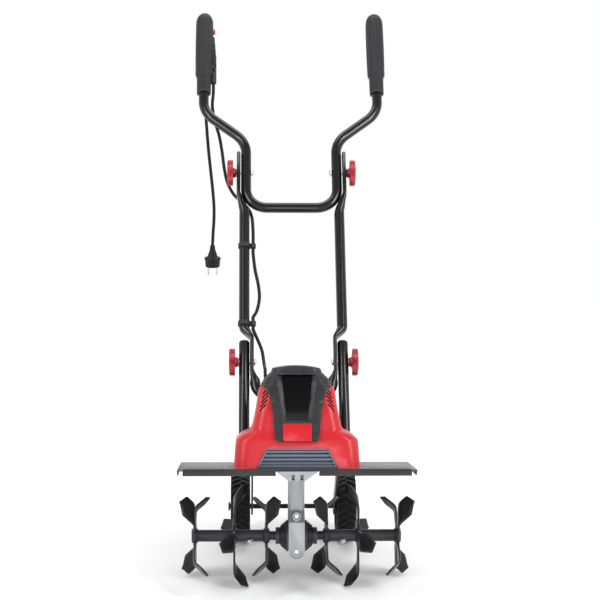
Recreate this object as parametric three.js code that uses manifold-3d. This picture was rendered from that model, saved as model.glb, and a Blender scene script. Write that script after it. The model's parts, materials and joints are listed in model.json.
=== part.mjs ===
// Corded electric tiller. Millimetres, +Z up, front = -Y, left and right = -X and +X.
// The machine frame has its origin at the middle of the tine axle. The handle frame has its
// origin between the lower pivots, with Z along the leaning handles and +Y to the rear.
import * as THREE from 'three';
import { mergeVertices } from 'three/addons/utils/BufferGeometryUtils.js';
import Module from 'manifold-3d';

const wasm = await Module();
wasm.setup();

// ---- driving dimensions -------------------------------------------------------------------
const GAP = 0.3;                       // between pieces that touch
const DEG = Math.PI / 180;

const TINE_RADIUS = 100;
const STAR_X = { inner: 58, middle: 120, outer: 196 };
const BLADE = { bendRadius: 66, bend: 44 * DEG, skew: 25 * DEG, thick: 4, halfWidth: 20 };
const MIDDLE_TURN = 5;                 // degrees, of the middle stars' arms from the vertical
const PIN_LEAN = 60 * DEG;             // of each sleeve pin's head from straight down to the front
const AXLE_RADIUS = 8.7;
const SLEEVE = { radius: 11.5, bore: 9, from: 57, to: 199 };
const PIN_X = 89.5;

const WHEEL = { radius: 70, width: 40, x: 109, y: 250, z: 31, axleRadius: 5 };
const MOTOR_Y = 30;                    // the motor shaft stands behind the tine axle
const GUARD = { halfWidth: 228, front: -84, rear: 120, top: 133, thick: 2, lip: 11, rise: 2.3 };

const LEAN = 25 * DEG;                 // of the handles, in the machine frame
const LOWER_PIVOT = { y: 190, z: 332 };
const UPPER_PIVOT = 448;               // along the handle from the lower pivot
const TUBE = { radius: 11, wall: 1.5, flatHalf: 4.3, flatWide: 15 };
const LEG_X = 101.5;                   // lower posts and the round part of the mid handle
const UPPER_LEG_X = 98;
const MID_FLAT_X = { upper: 114.4, lower: 85.5 };
const GRIP_X = 192;
const GRIP = { start: UPPER_PIVOT + 202, step: UPPER_PIVOT + 250, top: UPPER_PIVOT + 414 };
const CLIP_V = { upper: 269, lower: 87 };
const CABLE_RADIUS = 3.5;
const CABLE_X = -82.9;                 // where the clips hold the motor cable


// ---- materials ----------------------------------------------------------------------------
const finish = (color, roughness, metalness = 0) =>
  new THREE.MeshStandardMaterial({ color, roughness, metalness });
const RED = finish(0xc8202a, 0.4);
const KNOB_RED = finish(0xb42832, 0.45);
const BLACK = finish(0x1c1c1e, 0.55);
const GLOSS_BLACK = finish(0x0c0c0e, 0.18);
const PAINTED_STEEL = finish(0x151517, 0.3, 0.4);
const RUBBER = finish(0x1a1a1b, 0.8);
const CAST = finish(0xa8aaac, 0.45, 0.85);
const STEEL = finish(0xb4b6b8, 0.35, 1);
const GRILLE_GREY = finish(0x7d8894, 0.4, 0.3);
const COPPER = finish(0xa8623a, 0.4, 0.9);
const BRONZE = finish(0xb08a4a, 0.4, 0.9);

// ---- solids -------------------------------------------------------------------------------
function solid(geometry) {
  const bare = geometry.index ? geometry.toNonIndexed() : geometry.clone();
  bare.deleteAttribute('normal');
  bare.deleteAttribute('uv');
  const welded = mergeVertices(bare, 1e-4);
  return new wasm.Manifold(new wasm.Mesh({
    numProp: 3,
    vertProperties: new Float32Array(welded.attributes.position.array),
    triVerts: new Uint32Array(welded.index.array),
  }));
}

function geometryOf(manifold) {
  const mesh = manifold.getMesh();
  const geometry = new THREE.BufferGeometry();
  geometry.setAttribute('position', new THREE.BufferAttribute(mesh.vertProperties, 3));
  geometry.setIndex(new THREE.BufferAttribute(mesh.triVerts, 1));
  return geometry;
}

const join = (...parts) => parts.reduce((whole, part) => whole.add(part));
const cut = (whole, ...parts) => parts.reduce((rest, part) => rest.subtract(part), whole);

function block(x, y, z) {
  const box = new THREE.BoxGeometry(x[1] - x[0], y[1] - y[0], z[1] - z[0]);
  return solid(box.translate((x[0] + x[1]) / 2, (y[0] + y[1]) / 2, (z[0] + z[1]) / 2));
}

// A round bar between two points; its two radii may differ.
function bar(from, to, radius, endRadius = radius, sides = 12) {
  const a = new THREE.Vector3(...from);
  const along = new THREE.Vector3(...to).sub(a);
  const shape = new THREE.CylinderGeometry(endRadius, radius, along.length(), sides);
  shape.translate(0, along.length() / 2, 0);
  const up = new THREE.Vector3(0, 1, 0);
  shape.applyQuaternion(new THREE.Quaternion().setFromUnitVectors(up, along.normalize()));
  return solid(shape.translate(a.x, a.y, a.z));
}

// The tool that cuts a round hole: its flats, not its corners, lie at the radius.
const bore = (from, to, radius, sides = 12) =>
  bar(from, to, radius / Math.cos(Math.PI / sides), undefined, sides);

// A turned piece about the X axis, from [x, radius] pairs that close on themselves.
function turnedX(profile, sides = 16) {
  const points = profile.map(([x, r]) => new THREE.Vector2(r, x));
  points.push(points[0].clone());
  const shape = new THREE.LatheGeometry(points, sides);
  shape.rotateZ(-Math.PI / 2);
  return solid(shape);
}

// An outline of [x, z] pairs, drawn out from y0 to y1.
function prismY(outline, y0, y1) {
  const shape = new THREE.Shape(outline.map(([x, z]) => new THREE.Vector2(x, z)));
  const body = new THREE.ExtrudeGeometry(shape, { depth: y1 - y0, bevelEnabled: false });
  return solid(body.rotateX(Math.PI / 2).translate(0, y1, 0));
}

// An outline of [y, z] pairs, drawn out from x0 to x1.
function prismX(outline, x0, x1) {
  const shape = new THREE.Shape(outline.map(([y, z]) => new THREE.Vector2(y, z)));
  const body = new THREE.ExtrudeGeometry(shape, { depth: x1 - x0, bevelEnabled: false });
  const axes = new THREE.Matrix4().makeBasis(
    new THREE.Vector3(0, 1, 0), new THREE.Vector3(0, 0, 1), new THREE.Vector3(1, 0, 0));
  return solid(body.applyMatrix4(axes).translate(x0, 0, 0));
}

// A closed skin over rings of equal point count, listed so that they advance along the piece.
function loft(rings) {
  const count = rings[0].length;
  const points = rings.flat();
  const faces = [];
  for (let ring = 0; ring + 1 < rings.length; ring += 1) {
    for (let i = 0; i < count; i += 1) {
      const a = ring * count + i;
      const b = ring * count + (i + 1) % count;
      faces.push(a, b, b + count, a, b + count, a + count);
    }
  }
  const last = (rings.length - 1) * count;
  for (let i = 1; i + 1 < count; i += 1) {
    faces.push(0, i + 1, i, last, last + i, last + i + 1);
  }
  const geometry = new THREE.BufferGeometry();
  geometry.setAttribute('position', new THREE.Float32BufferAttribute(points.flat(), 3));
  geometry.setIndex(faces);
  const body = solid(geometry);
  if (body.volume() > 0) return body;
  geometry.setIndex(faces.reverse());
  return solid(geometry);
}

// ---- bent tubes, in the X-Z plane of the handle frame ---------------------------------------
// A stop is { x, v, bend, flat }: a corner of the tube's centre line, the radius it is bent to,
// and how far it is pressed flat there, from 0 to 1.
function bentLine(stops, arcSteps = 3) {
  const line = [];
  stops.forEach((stop, i) => {
    if (!stop.bend) {
      line.push({ x: stop.x, v: stop.v, flat: stop.flat ?? 0 });
      return;
    }
    const here = new THREE.Vector2(stop.x, stop.v);
    const back = new THREE.Vector2(stops[i - 1].x, stops[i - 1].v).sub(here).normalize();
    const on = new THREE.Vector2(stops[i + 1].x, stops[i + 1].v).sub(here).normalize();
    const half = Math.acos(back.dot(on)) / 2;
    const reach = stop.bend / Math.tan(half);
    const middle = back.clone().add(on).normalize().multiplyScalar(stop.bend / Math.sin(half)).add(here);
    const first = back.multiplyScalar(reach).add(here).sub(middle);
    const end = on.multiplyScalar(reach).add(here).sub(middle);
    const sweep = Math.atan2(first.cross(end), first.dot(end));
    for (let step = 0; step <= arcSteps; step += 1) {
      const p = first.clone().rotateAround(new THREE.Vector2(), sweep * step / arcSteps).add(middle);
      line.push({ x: p.x, v: p.y, flat: stop.flat ?? 0 });
    }
  });
  return line;
}

function tubeAlong(line, shrink, overrun, sides = 8) {
  const rings = line.map((point, i) => {
    const before = line[Math.max(i - 1, 0)];
    const after = line[Math.min(i + 1, line.length - 1)];
    const along = new THREE.Vector2(after.x - before.x, after.v - before.v).normalize();
    const end = i === 0 ? -overrun : (i === line.length - 1 ? overrun : 0);
    const thin = THREE.MathUtils.lerp(TUBE.radius, TUBE.flatHalf, point.flat) - shrink;
    const wide = THREE.MathUtils.lerp(TUBE.radius, TUBE.flatWide, point.flat) - shrink;
    return Array.from({ length: sides }, (_, k) => {
      const turn = 2 * Math.PI * k / sides;
      const across = thin * Math.cos(turn);
      return [
        point.x + along.y * across + along.x * end,
        wide * Math.sin(turn),
        point.v - along.x * across + along.y * end,
      ];
    });
  });
  return loft(rings);
}

const hollowTube = (stops) => {
  const line = bentLine(stops);
  return cut(tubeAlong(line, 0, 0), tubeAlong(line, TUBE.wall, 1));
};

// ---- the assembly ---------------------------------------------------------------------------
const machine = new THREE.Group();
const handles = new THREE.Group();
handles.position.set(0, LOWER_PIVOT.y, LOWER_PIVOT.z);
handles.rotation.x = -LEAN;
machine.add(handles);

function add(group, name, manifold, material) {
  const mesh = new THREE.Mesh(geometryOf(manifold), material);
  mesh.name = name;
  group.add(mesh);
  return mesh;
}

const SIDES = [['left', -1], ['right', 1]];

// ---- tines ----------------------------------------------------------------------------------
// One star: a flat plate of four arms, whose outer halves are bent sideways in turn on skew lines.
function star(x, firstTurn, firstSide) {
  const { bendRadius, bend, skew, thick, halfWidth } = BLADE;
  const lengthways = Math.sin(skew) ** 2 + Math.cos(skew) ** 2 * Math.cos(bend);
  const reach = (TINE_RADIUS - bendRadius - thick / 2 * Math.sin(bend)) / lengthways;
  const slope = halfWidth * Math.tan(skew);
  const root = prismX([[-10, 5], [10, 5], [halfWidth, bendRadius + slope], [-halfWidth, bendRadius - slope]],
    -thick / 2, thick / 2);
  const tip = prismX([[-halfWidth, -slope], [halfWidth, slope], [halfWidth, reach * 0.78], [0, reach],
    [-halfWidth, reach * 0.5]], -thick / 2, thick / 2);
  const parts = [bar([-thick / 2, 0, 0], [thick / 2, 0, 0], 26)];
  for (let arm = 0; arm < 4; arm += 1) {
    const side = firstSide * (arm % 2 ? -1 : 1);
    const turn = firstTurn + arm * 90;
    const bent = tip.rotate([-skew / DEG, 0, 0]).rotate([0, side * bend / DEG, 0]).rotate([skew / DEG, 0, 0])
      .translate([0, 0, bendRadius - 0.2]);
    parts.push(root.add(bent).rotate([turn, 0, 0]));
  }
  const hole = bore([-thick, 0, 0], [thick, 0, 0], SLEEVE.radius + GAP);
  return cut(join(...parts), hole).translate([x, 0, 0]);
}

const pinBores = [];
for (const [side, sign] of SIDES) {
  // Seen from its own end, each star's arms start from the one that points up or up-front.
  add(machine, `tine_star_inner_${side}`, star(sign * STAR_X.inner, 45, -sign), BLACK);
  add(machine, `tine_star_middle_${side}`, star(sign * STAR_X.middle, MIDDLE_TURN, -sign), BLACK);
  add(machine, `tine_star_outer_${side}`, star(sign * STAR_X.outer, 45, sign), BLACK);

  const onPin = (v) => [sign * PIN_X, v * Math.sin(PIN_LEAN), v * Math.cos(PIN_LEAN)];
  const pinBore = bore(onPin(-30), onPin(30), 2.5 + GAP);
  pinBores.push(pinBore);
  const sleeve = turnedX([[SLEEVE.from, SLEEVE.bore], [SLEEVE.from, SLEEVE.radius],
    [SLEEVE.to, SLEEVE.radius], [SLEEVE.to, SLEEVE.bore]]);
  const placed = sign > 0 ? sleeve : sleeve.mirror([1, 0, 0]);
  add(machine, `tine_sleeve_${side}`, cut(placed, pinBore), PAINTED_STEEL);
  const pin = join(
    bar(onPin(-19), onPin(15), 2.5, 2.5, 12),
    bar(onPin(-21), onPin(-17), 5, 5, 6));
  add(machine, `tine_pin_${side}`, pin, STEEL);
}

const axleBar = bar([-130, 0, 0], [130, 0, 0], AXLE_RADIUS, AXLE_RADIUS, 24);
add(machine, 'tine_axle', cut(axleBar, ...pinBores), PAINTED_STEEL);

function wormWheel() {
  const teeth = 30;
  const outline = [];
  for (let tooth = 0; tooth < teeth; tooth += 1) {
    [[0, 18.8], [0.35, 20.7], [0.7, 20.7]].forEach(([share, radius]) => {
      const turn = 2 * Math.PI * (tooth + share) / teeth;
      outline.push([radius * Math.cos(turn), radius * Math.sin(turn)]);
    });
  }
  return cut(prismX(outline, -6, 6), bore([-9, 0, 0], [9, 0, 0], AXLE_RADIUS + GAP));
}
add(machine, 'worm_wheel', wormWheel(), BRONZE);

// ---- gear case ------------------------------------------------------------------------------
const CASE_HALF = 15.5;
const CASE_TOP = GUARD.top - GUARD.thick - GAP;

function caseOutline() {
  const bottom = -27.5;
  const outline = [[-42, CASE_TOP], [-42, CASE_TOP - 4], [-16, 107], [-CASE_HALF, 100]];
  for (let step = 0; step <= 8; step += 1) {
    const turn = Math.PI + Math.PI * step / 8;
    outline.push([CASE_HALF * Math.cos(turn), bottom + CASE_HALF * Math.sin(turn)]);
  }
  outline.push([CASE_HALF, 100], [16, 107], [42, CASE_TOP - 4], [42, CASE_TOP]);
  return outline;
}

const gearSpace = join(
  bore([-9.4, 0, 0], [9.4, 0, 0], 24),
  bore([0, MOTOR_Y, -24], [0, MOTOR_Y, 24], 9.8),
  bore([0, MOTOR_Y, -32], [0, MOTOR_Y, CASE_TOP + 5], 5.2),
  bore([0, MOTOR_Y, CASE_TOP - 9], [0, MOTOR_Y, CASE_TOP + 5], 11.3),
  bore([-30, 0, 0], [30, 0, 0], AXLE_RADIUS + GAP));
const boltBores = [40, -28].map((z) => bore([0, -60, z], [0, 19, z], 2.3));
const boltHeads = [40, -28].map((z) => bore([0, -60, z], [0, -27, z], 5.4));
const gussetSlots = SIDES.map(([, s]) => prismY([[s * 20, 124], [s * 33, 124], [s * 20, 115]], -60, 80));

const frontSide = [[-GAP / 2, -50], [-22, -50], [-32, -25], [-32, 28], [-18, 52], [-18, 140],
  [-GAP / 2, 140]];
const caseFront = prismY(caseOutline(), -40, 0).intersect(prismX(frontSide, -60, 60));
const ribs = [-8, 8].map((x) => block([x - 1.5, x + 1.5], [-21, -17], [50, 122]));
const bosses = [40, -28].map((z) => bar([0, -33, z], [0, -10, z], 8.5));
// The mounting foot runs forward through the notch in the guard's lip, with two blind pockets.
const foot = prismY([[-40, CASE_TOP], [-15.8, 113], [15.8, 113], [40, CASE_TOP]], GUARD.front - 3, -17);
const pockets = SIDES.map(([, s]) =>
  block([Math.min(s * 5.5, s * 11), Math.max(s * 5.5, s * 11)], [GUARD.front - 4, -60], [114, 124]));
add(machine, 'gear_case_front',
  cut(join(caseFront, foot, ...ribs, ...bosses),
    gearSpace, ...boltBores, ...boltHeads, ...gussetSlots, ...pockets), CAST);

const rearSide = [[GAP / 2, -50], [30, -50], [46, -36], [46, 140], [GAP / 2, 140]];
const caseRear = prismY(caseOutline(), 0, 60).intersect(prismX(rearSide, -60, 60));
add(machine, 'gear_case_rear', cut(caseRear, gearSpace, ...boltBores, ...gussetSlots), CAST);

[['upper', 40], ['lower', -28]].forEach(([name, z]) => {
  const bolt = join(bar([0, -30, z], [0, -27.3, z], 4.8), bar([0, -28, z], [0, 17, z], 2, 2, 12));
  add(machine, `case_bolt_${name}`, bolt, STEEL);
});

for (const [side, sign] of SIDES) {
  const bell = turnedX([[CASE_HALF + GAP, 13.4], [CASE_HALF + GAP, 30], [19, 30], [25, 21],
    [31, 16.4], [40, 16.4], [40, AXLE_RADIUS + GAP], [27, AXLE_RADIUS + GAP], [27, 13.4]]);
  const bearing = turnedX([[18, AXLE_RADIUS + GAP], [18, 13.1], [26.5, 13.1], [26.5, AXLE_RADIUS + GAP]]);
  const face = (piece) => (sign > 0 ? piece : piece.mirror([1, 0, 0]));
  add(machine, `axle_bell_${side}`, face(bell), BLACK);
  add(machine, `axle_bearing_${side}`, face(bearing), STEEL);
}

// ---- motor ----------------------------------------------------------------------------------
function ring(z0, z1, inner, outer, sides = 14) {
  return cut(bar([0, MOTOR_Y, z0], [0, MOTOR_Y, z1], outer, outer, sides),
    bore([0, MOTOR_Y, z0 - 5], [0, MOTOR_Y, z1 + 5], inner, sides));
}
add(machine, 'shaft_bearing', ring(CASE_TOP - 8.7, CASE_TOP - 0.6, 4.3, 11), STEEL);
add(machine, 'motor_stator', ring(165, 235, 26, 40), STEEL);
add(machine, 'motor_shaft', join(
  bar([0, MOTOR_Y, -30], [0, MOTOR_Y, 270], 4, 4, 16),
  bar([0, MOTOR_Y, -22], [0, MOTOR_Y, 22], 8.8)), STEEL);
add(machine, 'armature', join(ring(170, 230, 4.3, 25), ring(229, 256, 4.3, 14)), COPPER);

function coolingFan() {
  const parts = [ring(148, 151, 4.3, 34), ring(148, 160, 4.3, 9)];
  for (let blade = 0; blade < 7; blade += 1) {
    const vane = block([-1, 1], [8.5, 33], [150, 160]);
    parts.push(vane.rotate([0, 0, blade * 360 / 7]).translate([0, MOTOR_Y, 0]));
  }
  return join(...parts);
}
add(machine, 'cooling_fan', coolingFan(), BLACK);

// ---- housing --------------------------------------------------------------------------------
// Levels of the motor housing: height, half width, front and rear faces, corner radius.
const HOUSING = [
  [GUARD.top + 0.4, 121, -76, 76, 26],
  [150, 120, -76, 76, 28],
  [187, 117, -72, 76, 30],
  [199, 105, -69, 77, 30],
  [208, 88, -67, 78, 28],
  [224, 83, -65, 79, 26],
  [250, 78, -61, 79, 26],
  [281, 73, -54, 76, 24],
  [288, 70, -52, 74, 22],
  [296, 61, -49, 68, 20],
  [305, 56, -45, 62, 18],
  [320, 41, -36, 50, 14],
];
const CORNER_STEPS = 3;
const HOOD_PROUD = 5;
const HOOD_EDGE = 294;                 // the cap covers the housing all round above this

// The housing's surface moved out by a distance, cut off below at its own foot.
function housingSkin(out) {
  const rings = HOUSING.map(([z, half, front, rear, corner], level) => {
    const radius = Math.max(corner + out, 2);
    const height = z + (level === HOUSING.length - 1 ? out : 0);
    const ring = [];
    [[1, 1], [-1, 1], [-1, -1], [1, -1]].forEach(([sx, sy], quarter) => {
      const cx = sx * (half + out - radius);
      const cy = sy > 0 ? rear + out - radius : front - out + radius;
      for (let step = 0; step <= CORNER_STEPS; step += 1) {
        const turn = (quarter + step / CORNER_STEPS) * Math.PI / 2;
        ring.push([cx + radius * Math.cos(turn), cy + radius * Math.sin(turn), height]);
      }
    });
    return ring;
  });
  return loft(rings);
}

const WALL = 3;
const GRILLE = [[-58, 173], [-75.7, 139], [75.7, 139], [58, 173]];
const grilleHole = GRILLE.map(([x, z]) => [x + Math.sign(x) * 0.6, z + (z > 150 ? 0.5 : -0.5)]);
const GLAND = { x: -58, z: 258, radius: 7 };

const belowCap = block([-200, 200], [-200, 200], [100, HOOD_EDGE - GAP]);
const inside = housingSkin(-WALL).translate([0, 0, -WALL]);
const footHole = block([-115, 115], [-70, 70], [100, 140])
  .intersect(housingSkin(-WALL).translate([0, 0, -20]));
add(machine, 'motor_housing', cut(housingSkin(0).intersect(belowCap), inside, footHole,
  prismY(grilleHole, -100, -50),
  bore([GLAND.x, 50, GLAND.z], [GLAND.x, 95, GLAND.z], GLAND.radius + GAP)), RED);

// The hood runs down the front between these edges.
const HOOD_FRONT = [[-70, 296], [-53, 275], [-46, 240], [-42.5, 193], [-38, 186],
  [38, 186], [42.5, 193], [46, 240], [53, 275], [70, 296], [70, 400], [-70, 400]];
const INSERT = [[-29.5, 312], [-19.6, 226], [19.6, 226], [29.5, 312]];
const LABEL = [[-27.5, 220.5], [-27.5, 187], [27.5, 187], [27.5, 220.5]];
const widen = (outline, by) => outline.map(([x, z]) => [x + Math.sign(x) * by, z]);

const hoodShell = cut(housingSkin(HOOD_PROUD), housingSkin(GAP));
const frontBand = prismY(HOOD_FRONT, -120, -20);
const cap = block([-200, 200], [-200, 200], [HOOD_EDGE, 400]);
const insertSpace = prismY(widen(INSERT, 0.3), -120, -10)
  .intersect(block([-60, 60], [-120, -10], [225.6, 312.4]));
const labelSpace = prismY(widen(LABEL, 0.3), -120, -10)
  .intersect(block([-60, 60], [-120, -10], [186.6, 220.9]));
const pocket = cut(join(insertSpace, labelSpace), housingSkin(2.2));
add(machine, 'motor_hood', cut(hoodShell.intersect(join(frontBand, cap)), pocket), BLACK);
add(machine, 'hood_insert',
  cut(prismY(INSERT, -120, -10).intersect(housingSkin(4)), housingSkin(2.5)), GLOSS_BLACK);
add(machine, 'label_plate',
  cut(prismY(LABEL, -120, -10).intersect(housingSkin(6.2)), housingSkin(2.5)), RED);

function frontGrille() {
  const body = prismY(GRILLE, -79, -71.5);
  const slots = [];
  for (let slot = 0; slot < 4; slot += 1) {
    const z = 143.5 + slot * 7.2;
    const half = 75.7 - (z + 2 - 139) * (75.7 - 58) / (173 - 139) - 4;
    slots.push(block([-half, half], [-90, -60], [z, z + 4.2]));
  }
  return cut(body, ...slots);
}
add(machine, 'front_grille', frontGrille(), GRILLE_GREY);

const POST = { foot: -212, top: 47 };   // along the handle from the lower pivot

// A socket welded to the guard for one post, and the post's bore in it.
function postSocket(x) {
  const at = (v) => [x, LOWER_PIVOT.y + v * Math.sin(LEAN), LOWER_PIVOT.z + v * Math.cos(LEAN)];
  const floor = GUARD.top - 1;
  const socket = join(bar(at(-235), at(-165), 14.5), block([x - 17, x + 17], [79, 119], [floor, floor + 4]));
  return cut(socket.intersect(block([x - 40, x + 40], [40, 200], [floor, 400])),
    bore(at(POST.foot - 2), at(-150), TUBE.radius + GAP));
}

const GUARD_PAD = { from: 140, to: 214, y: [-66, 104], rise: 0.8 };   // flat swaged panels

function tineGuard() {
  const { halfWidth, front, rear, top, thick, lip, rise } = GUARD;
  const lipHalf = halfWidth - 11;
  return cut(join(
    block([-halfWidth, halfWidth], [front, rear], [top - thick, top]),
    block([-lipHalf, lipHalf], [front, front + thick], [top - lip, top + rise]),
    block([-77, 77], [front, front + thick], [top, top + 5.8]),
    block([-lipHalf, lipHalf], [rear - thick, rear], [top - lip, top]),
    block([-GUARD_PAD.to, -GUARD_PAD.from], GUARD_PAD.y, [top - thick / 2, top + GUARD_PAD.rise]),
    block([GUARD_PAD.from, GUARD_PAD.to], GUARD_PAD.y, [top - thick / 2, top + GUARD_PAD.rise]),
    block([-halfWidth, thick - halfWidth], [front + 14, rear - 14], [top - lip, top]),
    block([halfWidth - thick, halfWidth], [front + 14, rear - 14], [top - lip, top])),
  bar([0, MOTOR_Y, 100], [0, MOTOR_Y, 150], 13),
  block([-41, 41], [front - 1, front + thick + 1], [top - lip - 1, top - thick]))
    .add(postSocket(-LEG_X)).add(postSocket(LEG_X));
}
add(machine, 'tine_guard', tineGuard(), PAINTED_STEEL);

// ---- wheels ---------------------------------------------------------------------------------
const atWheel = (piece) => piece.translate([0, WHEEL.y, WHEEL.z]);
for (const [side, sign] of SIDES) {
  const x = sign * 85;
  const under = GUARD.top - GUARD.thick - GAP;
  const arm = prismX([[58, under], [96, under], [264, 40], [262, 22], [244, 14], [228, 22]], x - 2, x + 2);
  const foot = block([Math.min(x, x - sign * 26), Math.max(x, x - sign * 26)], [58, 96], [under - 4, under]);
  add(machine, `wheel_bracket_${side}`,
    cut(join(arm, foot), bore([x - 9, WHEEL.y, WHEEL.z], [x + 9, WHEEL.y, WHEEL.z], WHEEL.axleRadius + GAP)),
    PAINTED_STEEL);

  const half = WHEEL.width / 2;
  const disc = turnedX([[-half, WHEEL.axleRadius + GAP], [-half, 13], [-6, 15], [-4, 50], [-half + 2, 55],
    [-half, 58], [-half, 66], [-half + 5, WHEEL.radius], [half - 5, WHEEL.radius], [half, 66], [half, 58],
    [half - 2, 55], [4, 50], [6, 15], [half, 13], [half, WHEEL.axleRadius + GAP]], 20);
  add(machine, `wheel_${side}`, atWheel(disc.translate([sign * WHEEL.x, 0, 0])), BLACK);
}
const axleEnd = WHEEL.x + WHEEL.width / 2 + 1.5;
add(machine, 'wheel_axle', atWheel(join(
  bar([-axleEnd, 0, 0], [axleEnd, 0, 0], WHEEL.axleRadius, WHEEL.axleRadius, 16),
  bar([-axleEnd - 4, 0, 0], [-axleEnd, 0, 0], 9, 9, 16),
  bar([axleEnd, 0, 0], [axleEnd + 4, 0, 0], 9, 9, 16))), PAINTED_STEEL);

// ---- lower posts ----------------------------------------------------------------------------
const boltBore = (x, v) => bore([x - 30, 0, v], [x + 30, 0, v], 4.3, 10);
for (const [side, sign] of SIDES) {
  const x = sign * LEG_X;
  // The post's top is swaged shut to a dome, and its foot is open.
  const post = cut(join(bar([x, 0, POST.foot], [x, 0, POST.top - 3], TUBE.radius),
    bar([x, 0, POST.top - 3], [x, 0, POST.top], TUBE.radius, TUBE.radius - 2.5)),
  bar([x, 0, POST.foot - 1], [x, 0, POST.top - 4], TUBE.radius - TUBE.wall), boltBore(x, 0));
  add(handles, `lower_tube_${side}`, post, PAINTED_STEEL);
}

// ---- mid handle -----------------------------------------------------------------------------
const midLeft = [
  { x: -MID_FLAT_X.upper, v: UPPER_PIVOT + 46, flat: 1 },
  { x: -MID_FLAT_X.upper, v: UPPER_PIVOT - 52, flat: 1 },
  { x: -MID_FLAT_X.upper + 2, v: UPPER_PIVOT - 60, flat: 0.8 },
  { x: -LEG_X - 1, v: UPPER_PIVOT - 92, flat: 0.15 },
  { x: -LEG_X, v: UPPER_PIVOT - 102, flat: 0 },
  { x: -LEG_X, v: 80, flat: 0 },
  { x: -LEG_X + 0.6, v: 75, flat: 0.12 },
  { x: -MID_FLAT_X.lower - 0.5, v: 55, flat: 0.95 },
  { x: -MID_FLAT_X.lower, v: 50, flat: 1 },
  { x: -MID_FLAT_X.lower, v: -20, flat: 1 },
  { x: -MID_FLAT_X.lower + 2.5, v: -30, flat: 0.7 },
  { x: -MID_FLAT_X.lower + 6.5, v: -43, flat: 0.05 },
  { x: -MID_FLAT_X.lower + 6.5, v: -76, bend: 31, flat: 0 },
];
const mirrored = (stops) => stops.slice().reverse().map((stop) => ({ ...stop, x: -stop.x }));
const midBores = SIDES.flatMap(([, s]) =>
  [boltBore(s * MID_FLAT_X.upper, UPPER_PIVOT), boltBore(s * MID_FLAT_X.lower, 0)]);
add(handles, 'mid_handle', cut(hollowTube([...midLeft, ...mirrored(midLeft)]), ...midBores), PAINTED_STEEL);

function cableClip(v) {
  const on = (x, radius) => bar([x, 0, v - 5], [x, 0, v + 5], radius);
  return cut(join(on(-LEG_X, TUBE.radius + 2.4), on(CABLE_X, CABLE_RADIUS + 2.4)),
    bore([-LEG_X, 0, v - 9], [-LEG_X, 0, v + 9], TUBE.radius + GAP),
    bore([CABLE_X, 0, v - 9], [CABLE_X, 0, v + 9], CABLE_RADIUS + GAP));
}
for (const [name, v] of Object.entries(CLIP_V)) {
  add(handles, `cable_clip_${name}`, cableClip(v), RUBBER);
}

// ---- upper handle ---------------------------------------------------------------------------
const upperLeft = [
  { x: -GRIP_X, v: GRIP.top - 16 },
  { x: -GRIP_X, v: UPPER_PIVOT + 154, bend: 60 },
  { x: -UPPER_LEG_X, v: UPPER_PIVOT + 78, bend: 60 },
  { x: -UPPER_LEG_X, v: UPPER_PIVOT - 86, bend: 45 },
];
const upperBores = SIDES.map(([, s]) => boltBore(s * UPPER_LEG_X, UPPER_PIVOT));
add(handles, 'upper_handle', cut(hollowTube([...upperLeft, ...mirrored(upperLeft)]), ...upperBores),
  PAINTED_STEEL);

// ---- grips ----------------------------------------------------------------------------------
const LEVER = { from: UPPER_PIVOT + 262, to: UPPER_PIVOT + 352, pivot: UPPER_PIVOT + 346 };
const BUTTON_V = UPPER_PIVOT + 367;
const LEAD_EXIT = { x: -GRIP_X + 3, y: 21.8, v: UPPER_PIVOT + 232 };
const CABLE_EXIT = { x: -GRIP_X + 21, y: 4, v: UPPER_PIVOT + 232 };

const gripBore = (x) => bore([x, 0, GRIP.start - 5], [x, 0, GRIP.top - 14], TUBE.radius + GAP);

function gripBody(x) {
  const levels = [[GRIP.start, 15.5], [GRIP.step - 6, 16], [GRIP.step, 19], [GRIP.step + 40, 20],
    [GRIP.top - 60, 20], [GRIP.top - 20, 19], [GRIP.top - 8, 15.5], [GRIP.top - 2, 9], [GRIP.top, 3]];
  const rings = levels.map(([v, radius]) => Array.from({ length: 20 }, (_, k) => {
    const turn = 2 * Math.PI * k / 20;
    return [x + radius * Math.cos(turn), radius * 1.08 * Math.sin(turn), v];
  }));
  return cut(loft(rings), gripBore(x));
}
add(handles, 'grip_right', gripBody(GRIP_X), RUBBER);

// The mains lead leaves through a tapered sleeve, moulded in one with the grip.
const SLEEVE_LENGTH = 26;
const sleeveTip = [LEAD_EXIT.x, LEAD_EXIT.y, LEAD_EXIT.v - SLEEVE_LENGTH];
const leadSleeve = bar([LEAD_EXIT.x, LEAD_EXIT.y, LEAD_EXIT.v + 1], sleeveTip, 5.6, 4.4, 12);
const exitBoss = (exit) => bar([exit.x, exit.y, exit.v], [exit.x, exit.y, exit.v + 34], 6.5);
const leverSlot = block([-GRIP_X + 12.5, -GRIP_X + 40], [-6.5, 6.5], [LEVER.from - 2, LEVER.to + 2]);
const buttonHole = bore([-GRIP_X + 12.5, 0, BUTTON_V], [-GRIP_X + 40, 0, BUTTON_V], 7);
add(handles, 'switch_grip', cut(
  join(gripBody(-GRIP_X), exitBoss(LEAD_EXIT), exitBoss(CABLE_EXIT), leadSleeve),
  gripBore(-GRIP_X), leverSlot, buttonHole), RUBBER);

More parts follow.
